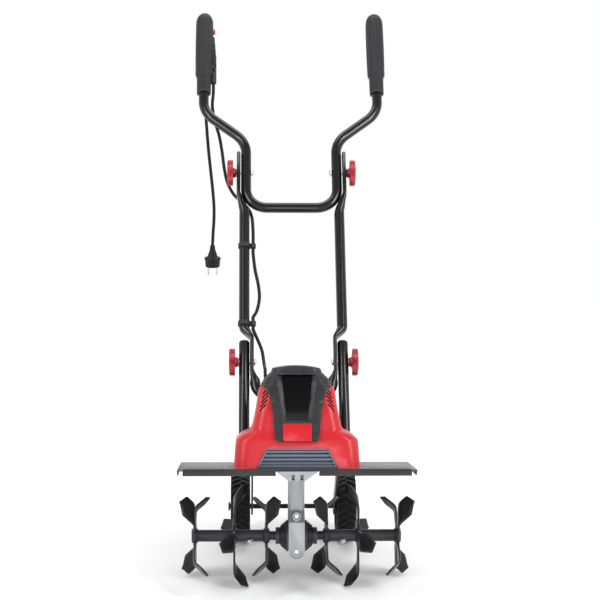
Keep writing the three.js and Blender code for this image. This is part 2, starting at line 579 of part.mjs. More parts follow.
// The lever is drawn in the handle plane and hinges near its upper end.
const leverOutline = [[13.5, LEVER.to], [22.5, LEVER.to], [27, LEVER.from + 30], [27.5, LEVER.from + 10],
  [25, LEVER.from], [19, LEVER.from], [19, LEVER.from + 20], [13.5, LEVER.to - 14]];
const lever = prismY(leverOutline.map(([x, v]) => [x - GRIP_X, v]), -6, 6);
add(handles, 'switch_lever', lever, BLACK);
add(handles, 'lock_off_button',
  join(bar([-GRIP_X + 16, 0, BUTTON_V], [-GRIP_X + 22, 0, BUTTON_V], 6.5, 6.5, 16),
    bar([-GRIP_X + 22, 0, BUTTON_V], [-GRIP_X + 24, 0, BUTTON_V], 6.5, 5, 16)), KNOB_RED);

// ---- knobs and their bolts ------------------------------------------------------------------
function starKnob(inner, v) {
  const outline = [];
  const lobes = 6;
  for (let k = 0; k < lobes * 4; k += 1) {
    const turn = 2 * Math.PI * k / (lobes * 4);
    const radius = 24.5 + 3.5 * Math.cos(turn * lobes);
    outline.push([radius * Math.cos(turn), radius * Math.sin(turn) + v]);
  }
  const stem = bar([inner, 0, v], [inner + 8, 0, v], 9, 11);
  return cut(join(prismX(outline, inner + 7, inner + 20), stem),
    bore([inner - 5, 0, v], [inner + 14, 0, v], 4.3));
}
function carriageBolt(head, tip, v) {
  return join(bar([head, 0, v], [head + 5, 0, v], 5, 8, 16), bar([head + 4, 0, v], [tip, 0, v], 4, 4, 16));
}
const UPPER_STACK = { head: UPPER_LEG_X - TUBE.radius - 5.4, knob: MID_FLAT_X.upper + TUBE.flatHalf + GAP };
const LOWER_STACK = { head: MID_FLAT_X.lower - TUBE.flatHalf - 5.4, knob: LEG_X + TUBE.radius + GAP };
for (const [level, v, stack] of [['upper', UPPER_PIVOT, UPPER_STACK], ['lower', 0, LOWER_STACK]]) {
  for (const [side, sign] of SIDES) {
    const face = (piece) => (sign > 0 ? piece : piece.mirror([1, 0, 0]));
    add(handles, `knob_${level}_${side}`, face(starKnob(stack.knob, v)), KNOB_RED);
    add(handles, `knob_bolt_${level}_${side}`, face(carriageBolt(stack.head, stack.knob + 12, v)), STEEL);
  }
}

// ---- cables ---------------------------------------------------------------------------------
function cord(points, radius, steps, sides = 8) {
  const section = Array.from({ length: sides }, (_, k) => {
    const turn = 2 * Math.PI * k / sides;
    return new THREE.Vector2(radius * Math.cos(turn), radius * Math.sin(turn));
  });
  const extrudePath = new THREE.CatmullRomCurve3(points.map((p) => new THREE.Vector3(...p)));
  const settings = { steps, extrudePath, bevelEnabled: false };
  return solid(new THREE.ExtrudeGeometry(new THREE.Shape(section), settings));
}

// The motor cable in the handle frame: over the upper pivot, along the leg, over the lower one.
const cableTop = [
  [CABLE_EXIT.x, CABLE_EXIT.y, CABLE_EXIT.v - GAP], [CABLE_EXIT.x, 5, 655], [-173, 13, 628], [-168, 22, 595],
  [-158, 27, 560], [-151, 32, 520], [-146, 35, 480], [-139, 35, 445], [-126, 33, 415], [-109, 27, 392],
  [-94, 18, 370], [-86, 8, 345], [-83.5, 2, 315], [CABLE_X, 0, 290], [CABLE_X, 0, 276],
  [CABLE_X, 0, CLIP_V.upper + GAP]];
const cableMiddle = [
  [CABLE_X, 0, CLIP_V.upper], [CABLE_X, 0, 262], [CABLE_X, 0, 250], [-79, 4, 215], [-72, 8, 180], [-70, 9, 150],
  [-75, 5, 120], [CABLE_X, 0, 102], [CABLE_X, 0, 94], [CABLE_X, 0, CLIP_V.lower]];
const inHandle = ([x, y, z]) => {
  const dy = y - LOWER_PIVOT.y;
  const dz = z - LOWER_PIVOT.z;
  return [x, dy * Math.cos(LEAN) - dz * Math.sin(LEAN), dy * Math.sin(LEAN) + dz * Math.cos(LEAN)];
};
const GLAND_TIP = [GLAND.x, 104, GLAND.z];
const cableBottom = [
  [CABLE_X, 0, CLIP_V.lower - GAP], [CABLE_X, 0, 80], [CABLE_X + 0.5, 0, 72], [-73, -1, 48], [-65, -4, 24],
  [-62, -12, 0], [-60, -26, -22], [-59, -44, -40], inHandle([-58.5, 130, 261]), inHandle([GLAND.x, 116, GLAND.z]),
  inHandle([GLAND.x, GLAND_TIP[1] + 0.5, GLAND.z])];
add(handles, 'motor_cable_top', cord(cableTop, CABLE_RADIUS, 26), RUBBER);
add(handles, 'motor_cable_middle', cord(cableMiddle, CABLE_RADIUS, 16), RUBBER);
add(handles, 'motor_cable_bottom', cord(cableBottom, CABLE_RADIUS, 18), RUBBER);
add(machine, 'cable_gland', join(
  bar([GLAND.x, 72, GLAND.z], [GLAND.x, 81, GLAND.z], GLAND.radius, GLAND.radius, 16),
  bar([GLAND.x, 80.5, GLAND.z], [GLAND.x, 85, GLAND.z], 9, 8, 16),
  bar([GLAND.x, 84, GLAND.z], [GLAND_TIP[0], 104, GLAND.z], 6.5, 4.6, 16)), RUBBER);

// ---- stance ---------------------------------------------------------------------------------
// The rear goes down until the lowest tine tip and the wheels stand on one floor.
const tines = machine.getObjectByName('tine_star_middle_left').geometry.getAttribute('position');
let tilt = 0.23;
for (let round = 0; round < 8; round += 1) {
  let [low, tipY, tipZ] = [-Infinity, 0, 0];
  for (let i = 0; i < tines.count; i += 1) {
    const down = tines.getY(i) * Math.sin(tilt) - tines.getZ(i) * Math.cos(tilt);
    if (down > low) [low, tipY, tipZ] = [down, tines.getY(i), tines.getZ(i)];
  }
  const [back, above] = [WHEEL.y - tipY, WHEEL.z - tipZ];
  tilt = Math.atan2(above, back) - Math.asin(WHEEL.radius / Math.hypot(back, above));
}
const tiller = new THREE.Group();
tiller.add(machine);
machine.rotation.x = -tilt;
tiller.updateMatrixWorld(true);

// ---- mains lead, hanging straight down from the switch grip ------------------------------------
const along = new THREE.Vector3(0, 0, -1).transformDirection(handles.matrixWorld);
const exit = handles.localToWorld(new THREE.Vector3(...sleeveTip)).addScaledVector(along, GAP);
const from = (x, y, z) => [exit.x + x, exit.y + y, exit.z + z];
const LEAD_DROP = 330;
const leadRoute = [
  from(0, 0, 0), from(0, along.y * 14, along.z * 14), from(0.5, -15, -26), from(1.5, -19, -42), from(3, -21, -62),
  from(5, -22, -90), from(8, -22, -125), from(12, -21, -165), from(16, -20, -205), from(18.5, -20, -240),
  from(18.5, -20, -270), from(16.5, -20, -300), from(15, -20, -LEAD_DROP)];
add(tiller, 'mains_lead', cord(leadRoute, CABLE_RADIUS, 22), RUBBER);

function plug() {
  const [x, y, z] = from(15, -20, -LEAD_DROP - GAP);
  const body = join(
    bar([x, y, z], [x, y, z - 14], 5, 7, 16),
    bar([x, y, z - 13.5], [x, y, z - 28], 8, 11, 16),
    bar([x, y, z - 27.5], [x, y, z - 33], 18.5, 18.5, 20),
    bar([x, y, z - 32.5], [x, y, z - 50], 17.5, 16.5, 20));
  const pins = [-9.5, 9.5].map((dx) => bar([x + dx, y, z - 49], [x + dx, y, z - 69], 2.4, 2.1, 10));
  return join(body, ...pins);
}
add(tiller, 'lead_plug', plug(), RUBBER);

// ---- origin at the middle of the box's bottom ---------------------------------------------------
const bounds = new THREE.Box3().setFromObject(tiller, true);
const centre = bounds.getCenter(new THREE.Vector3());
const part = new THREE.Group();
tiller.position.set(-centre.x, -centre.y, -bounds.min.z);
part.add(tiller);
part.updateMatrixWorld(true);

export default part;
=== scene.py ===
"""A corded electric tiller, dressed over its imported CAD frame. Shapes are drawn in millimetres in
two working frames, MACHINE (origin on the tine axle) and HANDLE (origin between the lower pivots),
and land in metres in the row frame."""
import json
import math

import bmesh
import bpy
from mathutils import Matrix, Vector


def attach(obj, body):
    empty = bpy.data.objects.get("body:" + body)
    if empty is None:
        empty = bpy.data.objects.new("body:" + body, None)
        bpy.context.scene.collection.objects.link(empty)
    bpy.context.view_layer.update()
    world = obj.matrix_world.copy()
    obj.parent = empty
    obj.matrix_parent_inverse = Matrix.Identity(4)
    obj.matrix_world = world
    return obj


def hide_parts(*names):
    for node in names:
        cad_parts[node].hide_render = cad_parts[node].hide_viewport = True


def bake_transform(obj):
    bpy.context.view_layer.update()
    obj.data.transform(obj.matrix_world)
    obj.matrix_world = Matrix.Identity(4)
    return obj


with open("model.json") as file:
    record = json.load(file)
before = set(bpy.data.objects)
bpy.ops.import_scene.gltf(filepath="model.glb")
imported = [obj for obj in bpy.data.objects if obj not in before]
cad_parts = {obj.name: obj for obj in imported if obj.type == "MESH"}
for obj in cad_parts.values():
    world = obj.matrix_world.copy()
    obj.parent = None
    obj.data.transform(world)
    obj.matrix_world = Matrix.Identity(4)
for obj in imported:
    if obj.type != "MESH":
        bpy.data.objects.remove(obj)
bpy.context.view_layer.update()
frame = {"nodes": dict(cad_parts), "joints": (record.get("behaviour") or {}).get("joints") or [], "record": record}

# ---- working frames, from the CAD joints -----------------
JOINTS = {joint["name"]: joint for joint in frame["joints"]}
BODY_OF = {node: body for body, nodes in frame["record"]["behaviour"]["bodies"].items() for node in nodes}
MM = 0.001


def working_frame(origin, up):
    z = Vector(up).normalized()
    x = Vector((1, 0, 0))
    turn = Matrix((x, z.cross(x), z)).transposed().to_4x4()
    return Matrix.Translation(Vector(origin)) @ turn @ Matrix.Scale(MM, 4)


LOWER = Vector(JOINTS["mid_fold"]["pos_m"])
UPPER = Vector(JOINTS["upper_fold"]["pos_m"])
MACHINE = working_frame(JOINTS["tine_spin"]["pos_m"], JOINTS["motor_spin"]["axis"])
HANDLE = working_frame(LOWER, UPPER - LOWER)
METRES = Matrix.Scale(MM, 4)               # for shapes drawn in mm along the row frame's own axes
PIVOT = (UPPER - LOWER).length / MM        # from the lower pivots to the upper ones
SIDES = (("left", -1), ("right", 1))

# ---- sizes shared by several pieces, in mm ---------------
TUBE = 11.0                                # outer radius of the handle tubes
LEG_X = 101.5                              # middle of the mid handle's legs and of the posts
UPPER_LEG_X = 98.0
GRIP_X = 192.0
CABLE = 3.5                                # radius of both cords
CABLE_X = -82.9                            # the motor cable, where the clips hold it
CLIPS = {"upper": 269.0, "lower": 87.0}    # heights of the clips above the lower pivots
CORD_V = 232.0                             # where the cords leave the grip, above the upper pivots
BUTTON_V = 367.0                           # the lock-off button's middle, above the same
GUARD_TOP = 133.0                          # above the tine axle
SHARP = 32                                 # degrees: edges that turn further stay sharp

# ---- camera ----------------------------------------------
def aim_camera():
    """A long lens 3.3 m in front and a little to the left, turned a degree or two toward the machine."""
    place = Vector((-93, -3300, 398))
    yaw, pitch = math.radians(1.74), math.radians(1.01)
    ahead = Vector((math.sin(yaw) * math.cos(pitch), math.cos(yaw) * math.cos(pitch), math.sin(pitch)))
    turn = MACHINE.to_3x3().normalized()
    back = -(turn @ ahead)
    right = (turn @ Vector((0, 0, 1))).cross(back).normalized()
    camera = bpy.data.objects.new("camera", bpy.data.cameras.new("camera"))
    camera.data.lens = 102
    camera.data.sensor_width = 36
    camera.matrix_world = Matrix.Translation(MACHINE @ place) @ Matrix(
        (right, back.cross(right), back)).transposed().to_4x4()
    bpy.context.scene.collection.objects.link(camera)
    bpy.context.scene.camera = camera


aim_camera()


# ---- materials -------------------------------------------
def material(name, color, roughness, metallic=0.0, coat=0.0, grain=700, bump=0.06, mottle=0.12,
             spread=0.08, wear=None, sheen=0.5):
    """A finish with cloudy colour and gloss, a fine grain, and paler worn edges where wear is given."""
    made = bpy.data.materials.new(name)
    made.use_nodes = True
    nodes, links = made.node_tree.nodes, made.node_tree.links
    shader = nodes["Principled BSDF"]
    shader.inputs["Metallic"].default_value = metallic
    shader.inputs["Coat Weight"].default_value = coat
    shader.inputs["Specular IOR Level"].default_value = sheen
    shader.inputs["Coat Roughness"].default_value = 0.12
    where = nodes.new("ShaderNodeTexCoord").outputs["Object"]

    cloud = nodes.new("ShaderNodeTexNoise")
    cloud.inputs["Scale"].default_value = 22
    cloud.inputs["Detail"].default_value = 5
    links.new(where, cloud.inputs["Vector"])
    tint = nodes.new("ShaderNodeMix")
    tint.data_type = "RGBA"
    tint.inputs["A"].default_value = [c * (1 - mottle) for c in color] + [1]
    tint.inputs["B"].default_value = [min(c * (1 + mottle), 1) for c in color] + [1]
    links.new(cloud.outputs["Fac"], tint.inputs["Factor"])
    shown = tint.outputs["Result"]
    if wear:
        edge = nodes.new("ShaderNodeValToRGB")
        edge.color_ramp.elements[0].position = 0.52
        edge.color_ramp.elements[1].position = 0.60
        links.new(nodes.new("ShaderNodeNewGeometry").outputs["Pointiness"], edge.inputs["Fac"])
        rubbed = nodes.new("ShaderNodeMix")
        rubbed.data_type = "RGBA"
        rubbed.inputs["B"].default_value = list(wear) + [1]
        links.new(edge.outputs["Color"], rubbed.inputs["Factor"])
        links.new(shown, rubbed.inputs["A"])
        shown = rubbed.outputs["Result"]
    links.new(shown, shader.inputs["Base Color"])

    gloss = nodes.new("ShaderNodeMapRange")
    gloss.inputs["To Min"].default_value = max(roughness - spread, 0.02)
    gloss.inputs["To Max"].default_value = min(roughness + spread, 1)
    links.new(cloud.outputs["Fac"], gloss.inputs["Value"])
    links.new(gloss.outputs["Result"], shader.inputs["Roughness"])

    fine = nodes.new("ShaderNodeTexNoise")
    fine.inputs["Scale"].default_value = grain
    fine.inputs["Detail"].default_value = 3
    links.new(where, fine.inputs["Vector"])
    relief = nodes.new("ShaderNodeBump")
    relief.inputs["Strength"].default_value = bump
    relief.inputs["Distance"].default_value = 0.0006
    links.new(fine.outputs["Fac"], relief.inputs["Height"])
    links.new(relief.outputs["Normal"], shader.inputs["Normal"])
    return made


LOOKS = {
    "red_housing": material("red_abs", (0.50, 0.010, 0.018), 0.36, coat=0.12, grain=1400, bump=0.10,
                            mottle=0.06, wear=(0.58, 0.05, 0.06), sheen=0.3),
    "red_label": material("label_print", (0.52, 0.008, 0.014), 0.24, coat=0.25, bump=0.01, mottle=0.03,
                          sheen=0.3),
    "knob_red": material("knob_nylon", (0.29, 0.010, 0.022), 0.40, coat=0.1, grain=1100, bump=0.12,
                         wear=(0.46, 0.06, 0.07), sheen=0.3),
    "hood_black": material("hood_abs", (0.018, 0.018, 0.020), 0.42, grain=1600, bump=0.22, mottle=0.2,
                           wear=(0.023, 0.023, 0.025), sheen=0.3),
    "insert_black": material("polished_abs", (0.002, 0.002, 0.0025), 0.14, coat=0.05, bump=0.01, spread=0.03,
                             sheen=0.12),
    "grille_grey": material("grille_paint", (0.040, 0.052, 0.080), 0.34, metallic=0.25, grain=1500, bump=0.08,
                            wear=(0.24, 0.28, 0.35)),
    "tube_black": material("powder_gloss", (0.004, 0.004, 0.0045), 0.2, coat=0.25, grain=420, bump=0.02,
                           spread=0.05, sheen=0.35),
    "guard_black": material("powder_satin", (0.010, 0.010, 0.011), 0.36, coat=0.1, grain=800, bump=0.16,
                            wear=(0.05, 0.05, 0.055), sheen=0.35),
    "tine_black": material("tine_paint", (0.006, 0.006, 0.007), 0.34, coat=0.08, grain=500, bump=0.14,
                           mottle=0.25, spread=0.12, wear=(0.07, 0.07, 0.075), sheen=0.2),
    "case_cast": material("die_cast", (0.36, 0.365, 0.38), 0.42, metallic=0.85, grain=900, bump=0.35,
                          mottle=0.14, spread=0.12, wear=(0.62, 0.63, 0.65)),
    "bell_black": material("seal_plastic", (0.030, 0.030, 0.034), 0.38, grain=900, bump=0.12,
                           wear=(0.10, 0.10, 0.105), sheen=0.35),
    "wheel_black": material("wheel_plastic", (0.006, 0.006, 0.0065), 0.5, grain=900, bump=0.2, mottle=0.2,
                            wear=(0.035, 0.035, 0.037), sheen=0.2),
    "grip_rubber": material("grip_rubber", (0.016, 0.016, 0.018), 0.5, grain=1300, bump=0.3, mottle=0.2,
                            wear=(0.05, 0.05, 0.055), sheen=0.3),
    "cable_rubber": material("cable_rubber", (0.006, 0.006, 0.0065), 0.46, grain=1500, bump=0.15, sheen=0.25),
    "plain_steel": material("zinc_steel", (0.50, 0.51, 0.53), 0.30, metallic=1.0, grain=900, bump=0.08,
                            spread=0.1, wear=(0.75, 0.75, 0.76)),
    "motor_iron": material("laminations", (0.20, 0.20, 0.22), 0.45, metallic=0.9, bump=0.2),
    "winding": material("copper", (0.50, 0.22, 0.10), 0.35, metallic=0.9, bump=0.2),
    "wheel_bronze": material("bronze", (0.48, 0.33, 0.13), 0.35, metallic=0.95, bump=0.1),
}
# painted shade: a near-black finish for the sheet inside the housing, where the vents and grille opening show only
# shadow
PAINTED_SHADE_SHEET = material("shadow_gap", (0.006, 0.006, 0.007), 0.7, bump=0.05)
SLOT_OF = {part["node"]: part["material_slot"] for part in frame["record"]["subparts"]}
for node, thing in frame["nodes"].items():
    thing.data.materials.clear()
    thing.data.materials.append(LOOKS[SLOT_OF[node]])
    thing.data.shade_smooth()
    thing.data.set_sharp_from_angle(angle=math.radians(SHARP))


# ---- forms: each gives (points, faces) -------------------
def ringed(rings, looped=False):
    """A skin over rings of equal point count: closed at its ends, or joined from last ring to first."""
    count = len(rings[0])
    points = [p for ring in rings for p in ring]
    faces = []
    spans = len(rings) if looped else len(rings) - 1
    for r in range(spans):
        here, there = r * count, (r + 1) % len(rings) * count
        for i in range(count):
            beside = (i + 1) % count
            faces.append((here + i, here + beside, there + beside, there + i))
    if not looped:
        faces.append(tuple(range(count - 1, -1, -1)))
        faces.append(tuple(range((len(rings) - 1) * count, len(rings) * count)))
    return points, faces


def circle(radius, sides):
    turns = [2 * math.pi * k / sides for k in range(sides)]
    return [(radius * math.cos(turn), radius * math.sin(turn)) for turn in turns]


def turned(profile, sides=48, axis="X", at=(0, 0, 0), looped=False):
    """A turned form from (along, radius) pairs."""
    order = {"X": (0, 1, 2), "Y": (1, 2, 0), "Z": (2, 0, 1)}[axis]
    rings = []
    for along, radius in profile:
        ring = []
        for a, b in circle(radius, sides):
            point = [0, 0, 0]
            point[order[0]], point[order[1]], point[order[2]] = along, a, b
            ring.append(tuple(point[i] + at[i] for i in range(3)))
        rings.append(ring)
    return ringed(rings, looped=looped)


def prism(outline, low, high, axis):
    """A flat outline drawn out along an axis. The outline is (y, z) for X, (x, z) for Y, (x, y) for Z."""
    def lift(a, b, level):
        return {"X": (level, a, b), "Y": (a, level, b), "Z": (a, b, level)}[axis]
    return ringed([[lift(a, b, level) for a, b in outline] for level in (low, high)])


def block(x, y, z):
    return prism([(x[0], y[0]), (x[1], y[0]), (x[1], y[1]), (x[0], y[1])], z[0], z[1], "Z")


def moved(form, matrix):
    return [tuple(matrix @ Vector(p)) for p in form[0]], form[1]


def handed(form, sign):
    """A form drawn for the right side, mirrored across X for the left one."""
    return form if sign > 0 else ([(-x, y, z) for x, y, z in form[0]], form[1])


def merged(*forms):
    points, faces = [], []
    for form in forms:
        start = len(points)
        points += form[0]
        faces += [tuple(i + start for i in face) for face in form[1]]
    return points, faces


# ---- pieces ----------------------------------------------
def solid(name, form, place):
    mesh = bpy.data.meshes.new(name)
    mesh.from_pydata([tuple(place @ Vector(p)) for p in form[0]], [], form[1])
    shape = bmesh.new()
    shape.from_mesh(mesh)
    bmesh.ops.recalc_face_normals(shape, faces=shape.faces)
    shape.to_mesh(mesh)
    shape.free()
    thing = bpy.data.objects.new(name, mesh)
    bpy.context.scene.collection.objects.link(thing)
    return thing


def settle(thing, sharp=SHARP):
    """Applies the modifiers and sets which edges stay sharp."""
    bpy.context.view_layer.update()
    mesh = bpy.data.meshes.new_from_object(thing.evaluated_get(bpy.context.evaluated_depsgraph_get()))
    thing.modifiers.clear()
    thing.data = mesh
    mesh.shade_smooth()
    mesh.set_sharp_from_angle(angle=math.radians(sharp))
    return thing


def evened(thing):
    """Weighs the shading by face area, so that long thin faces don't smudge it."""
    step = thing.modifiers.new("even", "WEIGHTED_NORMAL")
    step.keep_sharp = True
    return thing


def bevel(thing, width, segments=2, angle=SHARP):
    edge = thing.modifiers.new("bevel", "BEVEL")
    edge.width = width * MM
    edge.segments = segments
    edge.limit_method = "ANGLE"
    edge.angle_limit = math.radians(angle)
    edge.use_clamp_overlap = True
    return thing


def fit(thing, node, ride=True):
    """Gives a finished piece its finish and, when it rides, its body, and hides the CAD node that it stands for.
    """
    thing.data.materials.clear()
    thing.data.materials.append(LOOKS[SLOT_OF[node]])
    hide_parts(node)
    if ride:
        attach(thing, BODY_OF[node])
    return thing


def make(node, form, place, width=0.5, segments=2, angle=SHARP, sharp=SHARP):
    thing = solid(node + "_fine", form, place)
    if width:
        bevel(thing, width, segments, angle)
    return fit(settle(thing, sharp), node)


def boolean(thing, operation, other, sharp=SHARP):
    """Joins, cuts or crosses a piece with another one, which is used up."""
    step = thing.modifiers.new("carve", "BOOLEAN")
    step.operation = operation
    step.solver = "EXACT"
    step.object = other
    settle(thing, sharp)
    bpy.data.objects.remove(other)
    return thing


def carve(thing, *steps, place=MACHINE, sharp=SHARP):
    """Boolean steps of (operation, form), applied in turn."""
    for operation, form in steps:
        boolean(thing, operation, solid("tool", form, place), sharp)
    return thing


def rounded_copy(node, width, segments=2):
    """The CAD solid with its flats made whole and its edges broken."""
    thing = bpy.data.objects.new(node + "_fine", frame["nodes"][node].data.copy())
    bpy.context.scene.collection.objects.link(thing)
    shape = bmesh.new()
    shape.from_mesh(thing.data)
    bmesh.ops.remove_doubles(shape, verts=shape.verts, dist=1e-5)
    bmesh.ops.dissolve_limit(shape, angle_limit=math.radians(1.5), verts=shape.verts, edges=shape.edges)
    shape.to_mesh(thing.data)
    shape.free()
    bevel(thing, width, segments, 28)
    return fit(settle(thing), node)


# ---- cords -----------------------------------------------
def smooth_route(points, steps=8):
    """Points along a Catmull-Rom curve through the given ones."""
    knots = [Vector(p) for p in points]
    knots = [2 * knots[0] - knots[1]] + knots + [2 * knots[-1] - knots[-2]]
    route = []
    for a, b, c, d in zip(knots, knots[1:], knots[2:], knots[3:]):
        for step in range(steps):
            t = step / steps
            route.append(0.5 * (2 * b + (c - a) * t + (2 * a - 5 * b + 4 * c - d) * t * t
                                + (3 * b - a - 3 * c + d) * t ** 3))
    return route + [knots[-2]]


def swept(route, radius, sides=14):
    """A round skin along a route, turned as little as possible on the way."""
    route = [Vector(p) for p in route]
    ways = [(b - a).normalized() for a, b in zip(route, route[1:])]
    ways.append(ways[-1])
    side = ways[0].orthogonal().normalized()
    rings = []
    for i, (point, way) in enumerate(zip(route, ways)):
        along = (way + ways[max(i - 1, 0)]).normalized()
        side = (side - along * side.dot(along)).normalized()
        up = along.cross(side)
        rings.append([tuple(point + side * a + up * b) for a, b in circle(radius, sides)])
    return ringed(rings)


LEAD_EXIT = Vector((3 - GRIP_X, 21.8, PIVOT + CORD_V - 26))    # the tip of the grip's tapered sleeve


def mains_lead():
    """The short lead hangs from the switch grip, its whole length in view, to a two-pin plug."""
    way = (HANDLE.to_3x3() @ Vector((0, 0, -1))).normalized()
    exit_point = HANDLE @ LEAD_EXIT + way * 0.3 * MM
    drops = [(0, 0, 0), (0, way.y * 14, way.z * 14), (0.5, -15, -26), (1.5, -19, -42), (3, -21, -62),
             (5, -22, -90), (8, -22, -125), (12, -21, -165), (16, -20, -205), (18.5, -20, -240),
             (18.5, -20, -270), (16.5, -20, -300), (15, -20, -330)]
    points = [exit_point + Vector(d) * MM for d in drops]
    route = smooth_route(points, 6)
    line = bpy.data.curves.new("mains_lead_fine", "CURVE")
    line.dimensions = "3D"
    line.bevel_depth = CABLE * MM
    line.bevel_resolution = 6
    line.use_fill_caps = True
    spline = line.splines.new("POLY")
    spline.points.add(len(route) - 1)
    for knot, point in zip(spline.points, route):
        knot.co = (*point, 1)
    lead = bpy.data.objects.new("mains_lead_fine", line)
    bpy.context.scene.collection.objects.link(lead)
    fit(lead, "mains_lead")
    length = sum((b - a).length for a, b in zip(route, route[1:]))
    return lead, exit_point, length, points[-1]


def lead_plug(top):
    """A moulded two-pin plug, hanging pins down: ribbed neck, flanged shoulder and contoured body."""
    x, y, z = [c / MM for c in top]
    z -= 0.3

    def oval(level, wide, deep):
        return [(x + a * wide, y + b * deep, z - level) for a, b in circle(1, 40)]
    neck = [oval(level, 4.6 + 0.9 * (k % 2) + k * 0.25, 4.6 + 0.9 * (k % 2) + k * 0.25)
            for k, level in enumerate((0, 2, 3.5, 5.5, 7, 9, 10.5, 12.5))]
    body = [oval(level, wide, deep) for level, wide, deep in (
        (14, 7.5, 7.2), (18, 9.2, 8.6), (25, 11.2, 10), (27, 15.6, 14), (28, 18.2, 17.6), (32.2, 18.5, 18.2),
        (33.4, 17.7, 17.4), (34.2, 17.2, 17), (44, 16.6, 16.2), (48.8, 15.9, 15.6), (50, 14.4, 14))]
    plug = solid("lead_plug_fine", ringed(neck + body), METRES)
    fit(settle(bevel(plug, 0.25), 40), "lead_plug")
    points, faces = turned([(49.5, 2.35), (67, 2.3), (68.6, 1.7), (69, 0.8)], 20, "Z")
    pins = [([(a + x + aside, b + y, z - c) for a, b, c in points], faces) for aside in (-9.5, 9.5)]
    metal = settle(solid("plug_pins", merged(*pins), METRES))
    metal.data.materials.append(LOOKS["plain_steel"])
    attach(metal, "upper_frame")
    return plug, metal


lead, lead_start, lead_length, lead_end = mains_lead()
plug_parts = lead_plug(lead_end)

# The motor cable, in the handle frame: over the upper pivots, along the leg, over the lower ones.
CABLE_OUT = Vector((21 - GRIP_X, 4, PIVOT + CORD_V))
CABLE_TOP = [(CABLE_OUT.x, CABLE_OUT.y, CABLE_OUT.z + 6), (CABLE_OUT.x, 5, 655), (-173, 13, 628),
             (-168, 22, 595), (-158, 27, 560), (-151, 32, 520), (-146, 35, 480), (-139, 35, 445),
             (-126, 33, 415), (-109, 27, 392), (-94, 18, 370), (-86, 8, 345), (-83.5, 2, 315),
             (CABLE_X, 0, 290), (CABLE_X, 0, 276), (CABLE_X, 0, CLIPS["upper"])]
CABLE_MIDDLE = [(CABLE_X, 0, CLIPS["upper"]), (CABLE_X, 0, 262), (CABLE_X, 0, 250), (-79, 4, 215),
                (-72, 8, 180), (-70, 9, 150), (-75, 5, 120), (CABLE_X, 0, 102), (CABLE_X, 0, 94),
                (CABLE_X, 0, CLIPS["lower"])]
GLAND = Vector((-58, 104, 258))
to_handle = HANDLE.inverted() @ MACHINE
CABLE_BOTTOM = [(CABLE_X, 0, CLIPS["lower"]), (CABLE_X, 0, 80), (CABLE_X + 0.5, 0, 72), (-73, -1, 48),
                (-65, -4, 24), (-62, -12, 0), (-60, -26, -22), (-59, -44, -40),
                to_handle @ Vector((-58.5, 130, 261)), to_handle @ Vector((GLAND.x, 116, GLAND.z)),
                to_handle @ Vector((GLAND.x, GLAND.y - 3, GLAND.z))]


def motor_cable():
    """Three lengths; the middle one rides with its body, and the first and last stay fixed where they are drawn.
    """
    for node, points, bodies in (
            ("motor_cable_top", CABLE_TOP, ("upper_frame", "mid_frame", PIVOT + 50, PIVOT - 100)),
            ("motor_cable_middle", CABLE_MIDDLE, None),
            ("motor_cable_bottom", CABLE_BOTTOM, ("mid_frame", "root", 70, -45))):
        thing = settle(solid(node + "_fine", swept(smooth_route(points), CABLE), HANDLE), 60)
        fit(thing, node, ride=bodies is None)
        if bodies:
            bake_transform(thing)


motor_cable()


# ---- tines -----------------------------------------------
STAR_X = {"inner": 58, "middle": 120, "outer": 196}
PIN_X = 89.5
TINE = {"bend_at": 66.0, "bend": math.radians(44), "bend_radius": 16.0, "skew": math.radians(25),
        "length": 108.2, "root": 9.0, "root_half": 8.0, "half": 20.0, "thick": 4.0}


def blade(side):
    """One arm, up +Z: a flat root that widens to a leaf, bent along a skew line, with a skew point."""
    rows, columns = 40, 8
    widening = 46                           # from the root to the full width
    left_run = TINE["length"] - TINE["bend_at"] - 24
    right_run = 11                          # the point's two edges, measured along the arm
    bend_radius = TINE["bend_radius"]
    cos_skew, sin_skew = math.cos(TINE["skew"]), math.sin(TINE["skew"])
    arc = bend_radius * TINE["bend"]
    rings = []
    for row in range(rows + 1):
        s = TINE["root"] + (TINE["length"] - TINE["root"]) * row / rows
        grown = min(max((s - TINE["root"]) / widening, 0), 1) ** 1.2
        left = right = TINE["root_half"] + (TINE["half"] - TINE["root_half"]) * grown
        if s > TINE["bend_at"]:
            to_tip = TINE["half"] * max(TINE["length"] - s, 0.4)
            left = min(left, to_tip / left_run + 0.2)
            right = min(right, to_tip / right_run + 0.2)
        ring = []
        for face, order in ((1, range(columns + 1)), (-1, range(columns, -1, -1))):
            for c in order:
                t = -left + (left + right) * c / columns
                edge = min(c, columns - c) / columns
                half = face * TINE["thick"] / 2 * (0.45 if edge == 0 else 1)
                # Across the skew line, and along it.
                across = (s - TINE["bend_at"]) * cos_skew - t * sin_skew
                level = (s - TINE["bend_at"]) * sin_skew + t * cos_skew
                past = across + arc / 2
                lean, out = 0.0, 0.0
                if past > 0:
                    lean = min(past / bend_radius, TINE["bend"])
                    straight = max(past - arc, 0)
                    across = bend_radius * math.sin(lean) + straight * math.cos(lean) - arc / 2
                    out = bend_radius * (1 - math.cos(lean)) + straight * math.sin(lean)
                across -= half * math.sin(lean)
                ring.append(((out + half * math.cos(lean)) * side, level * cos_skew - across * sin_skew,
                             TINE["bend_at"] + across * cos_skew + level * sin_skew))
        rings.append(ring)
    return ringed(rings)


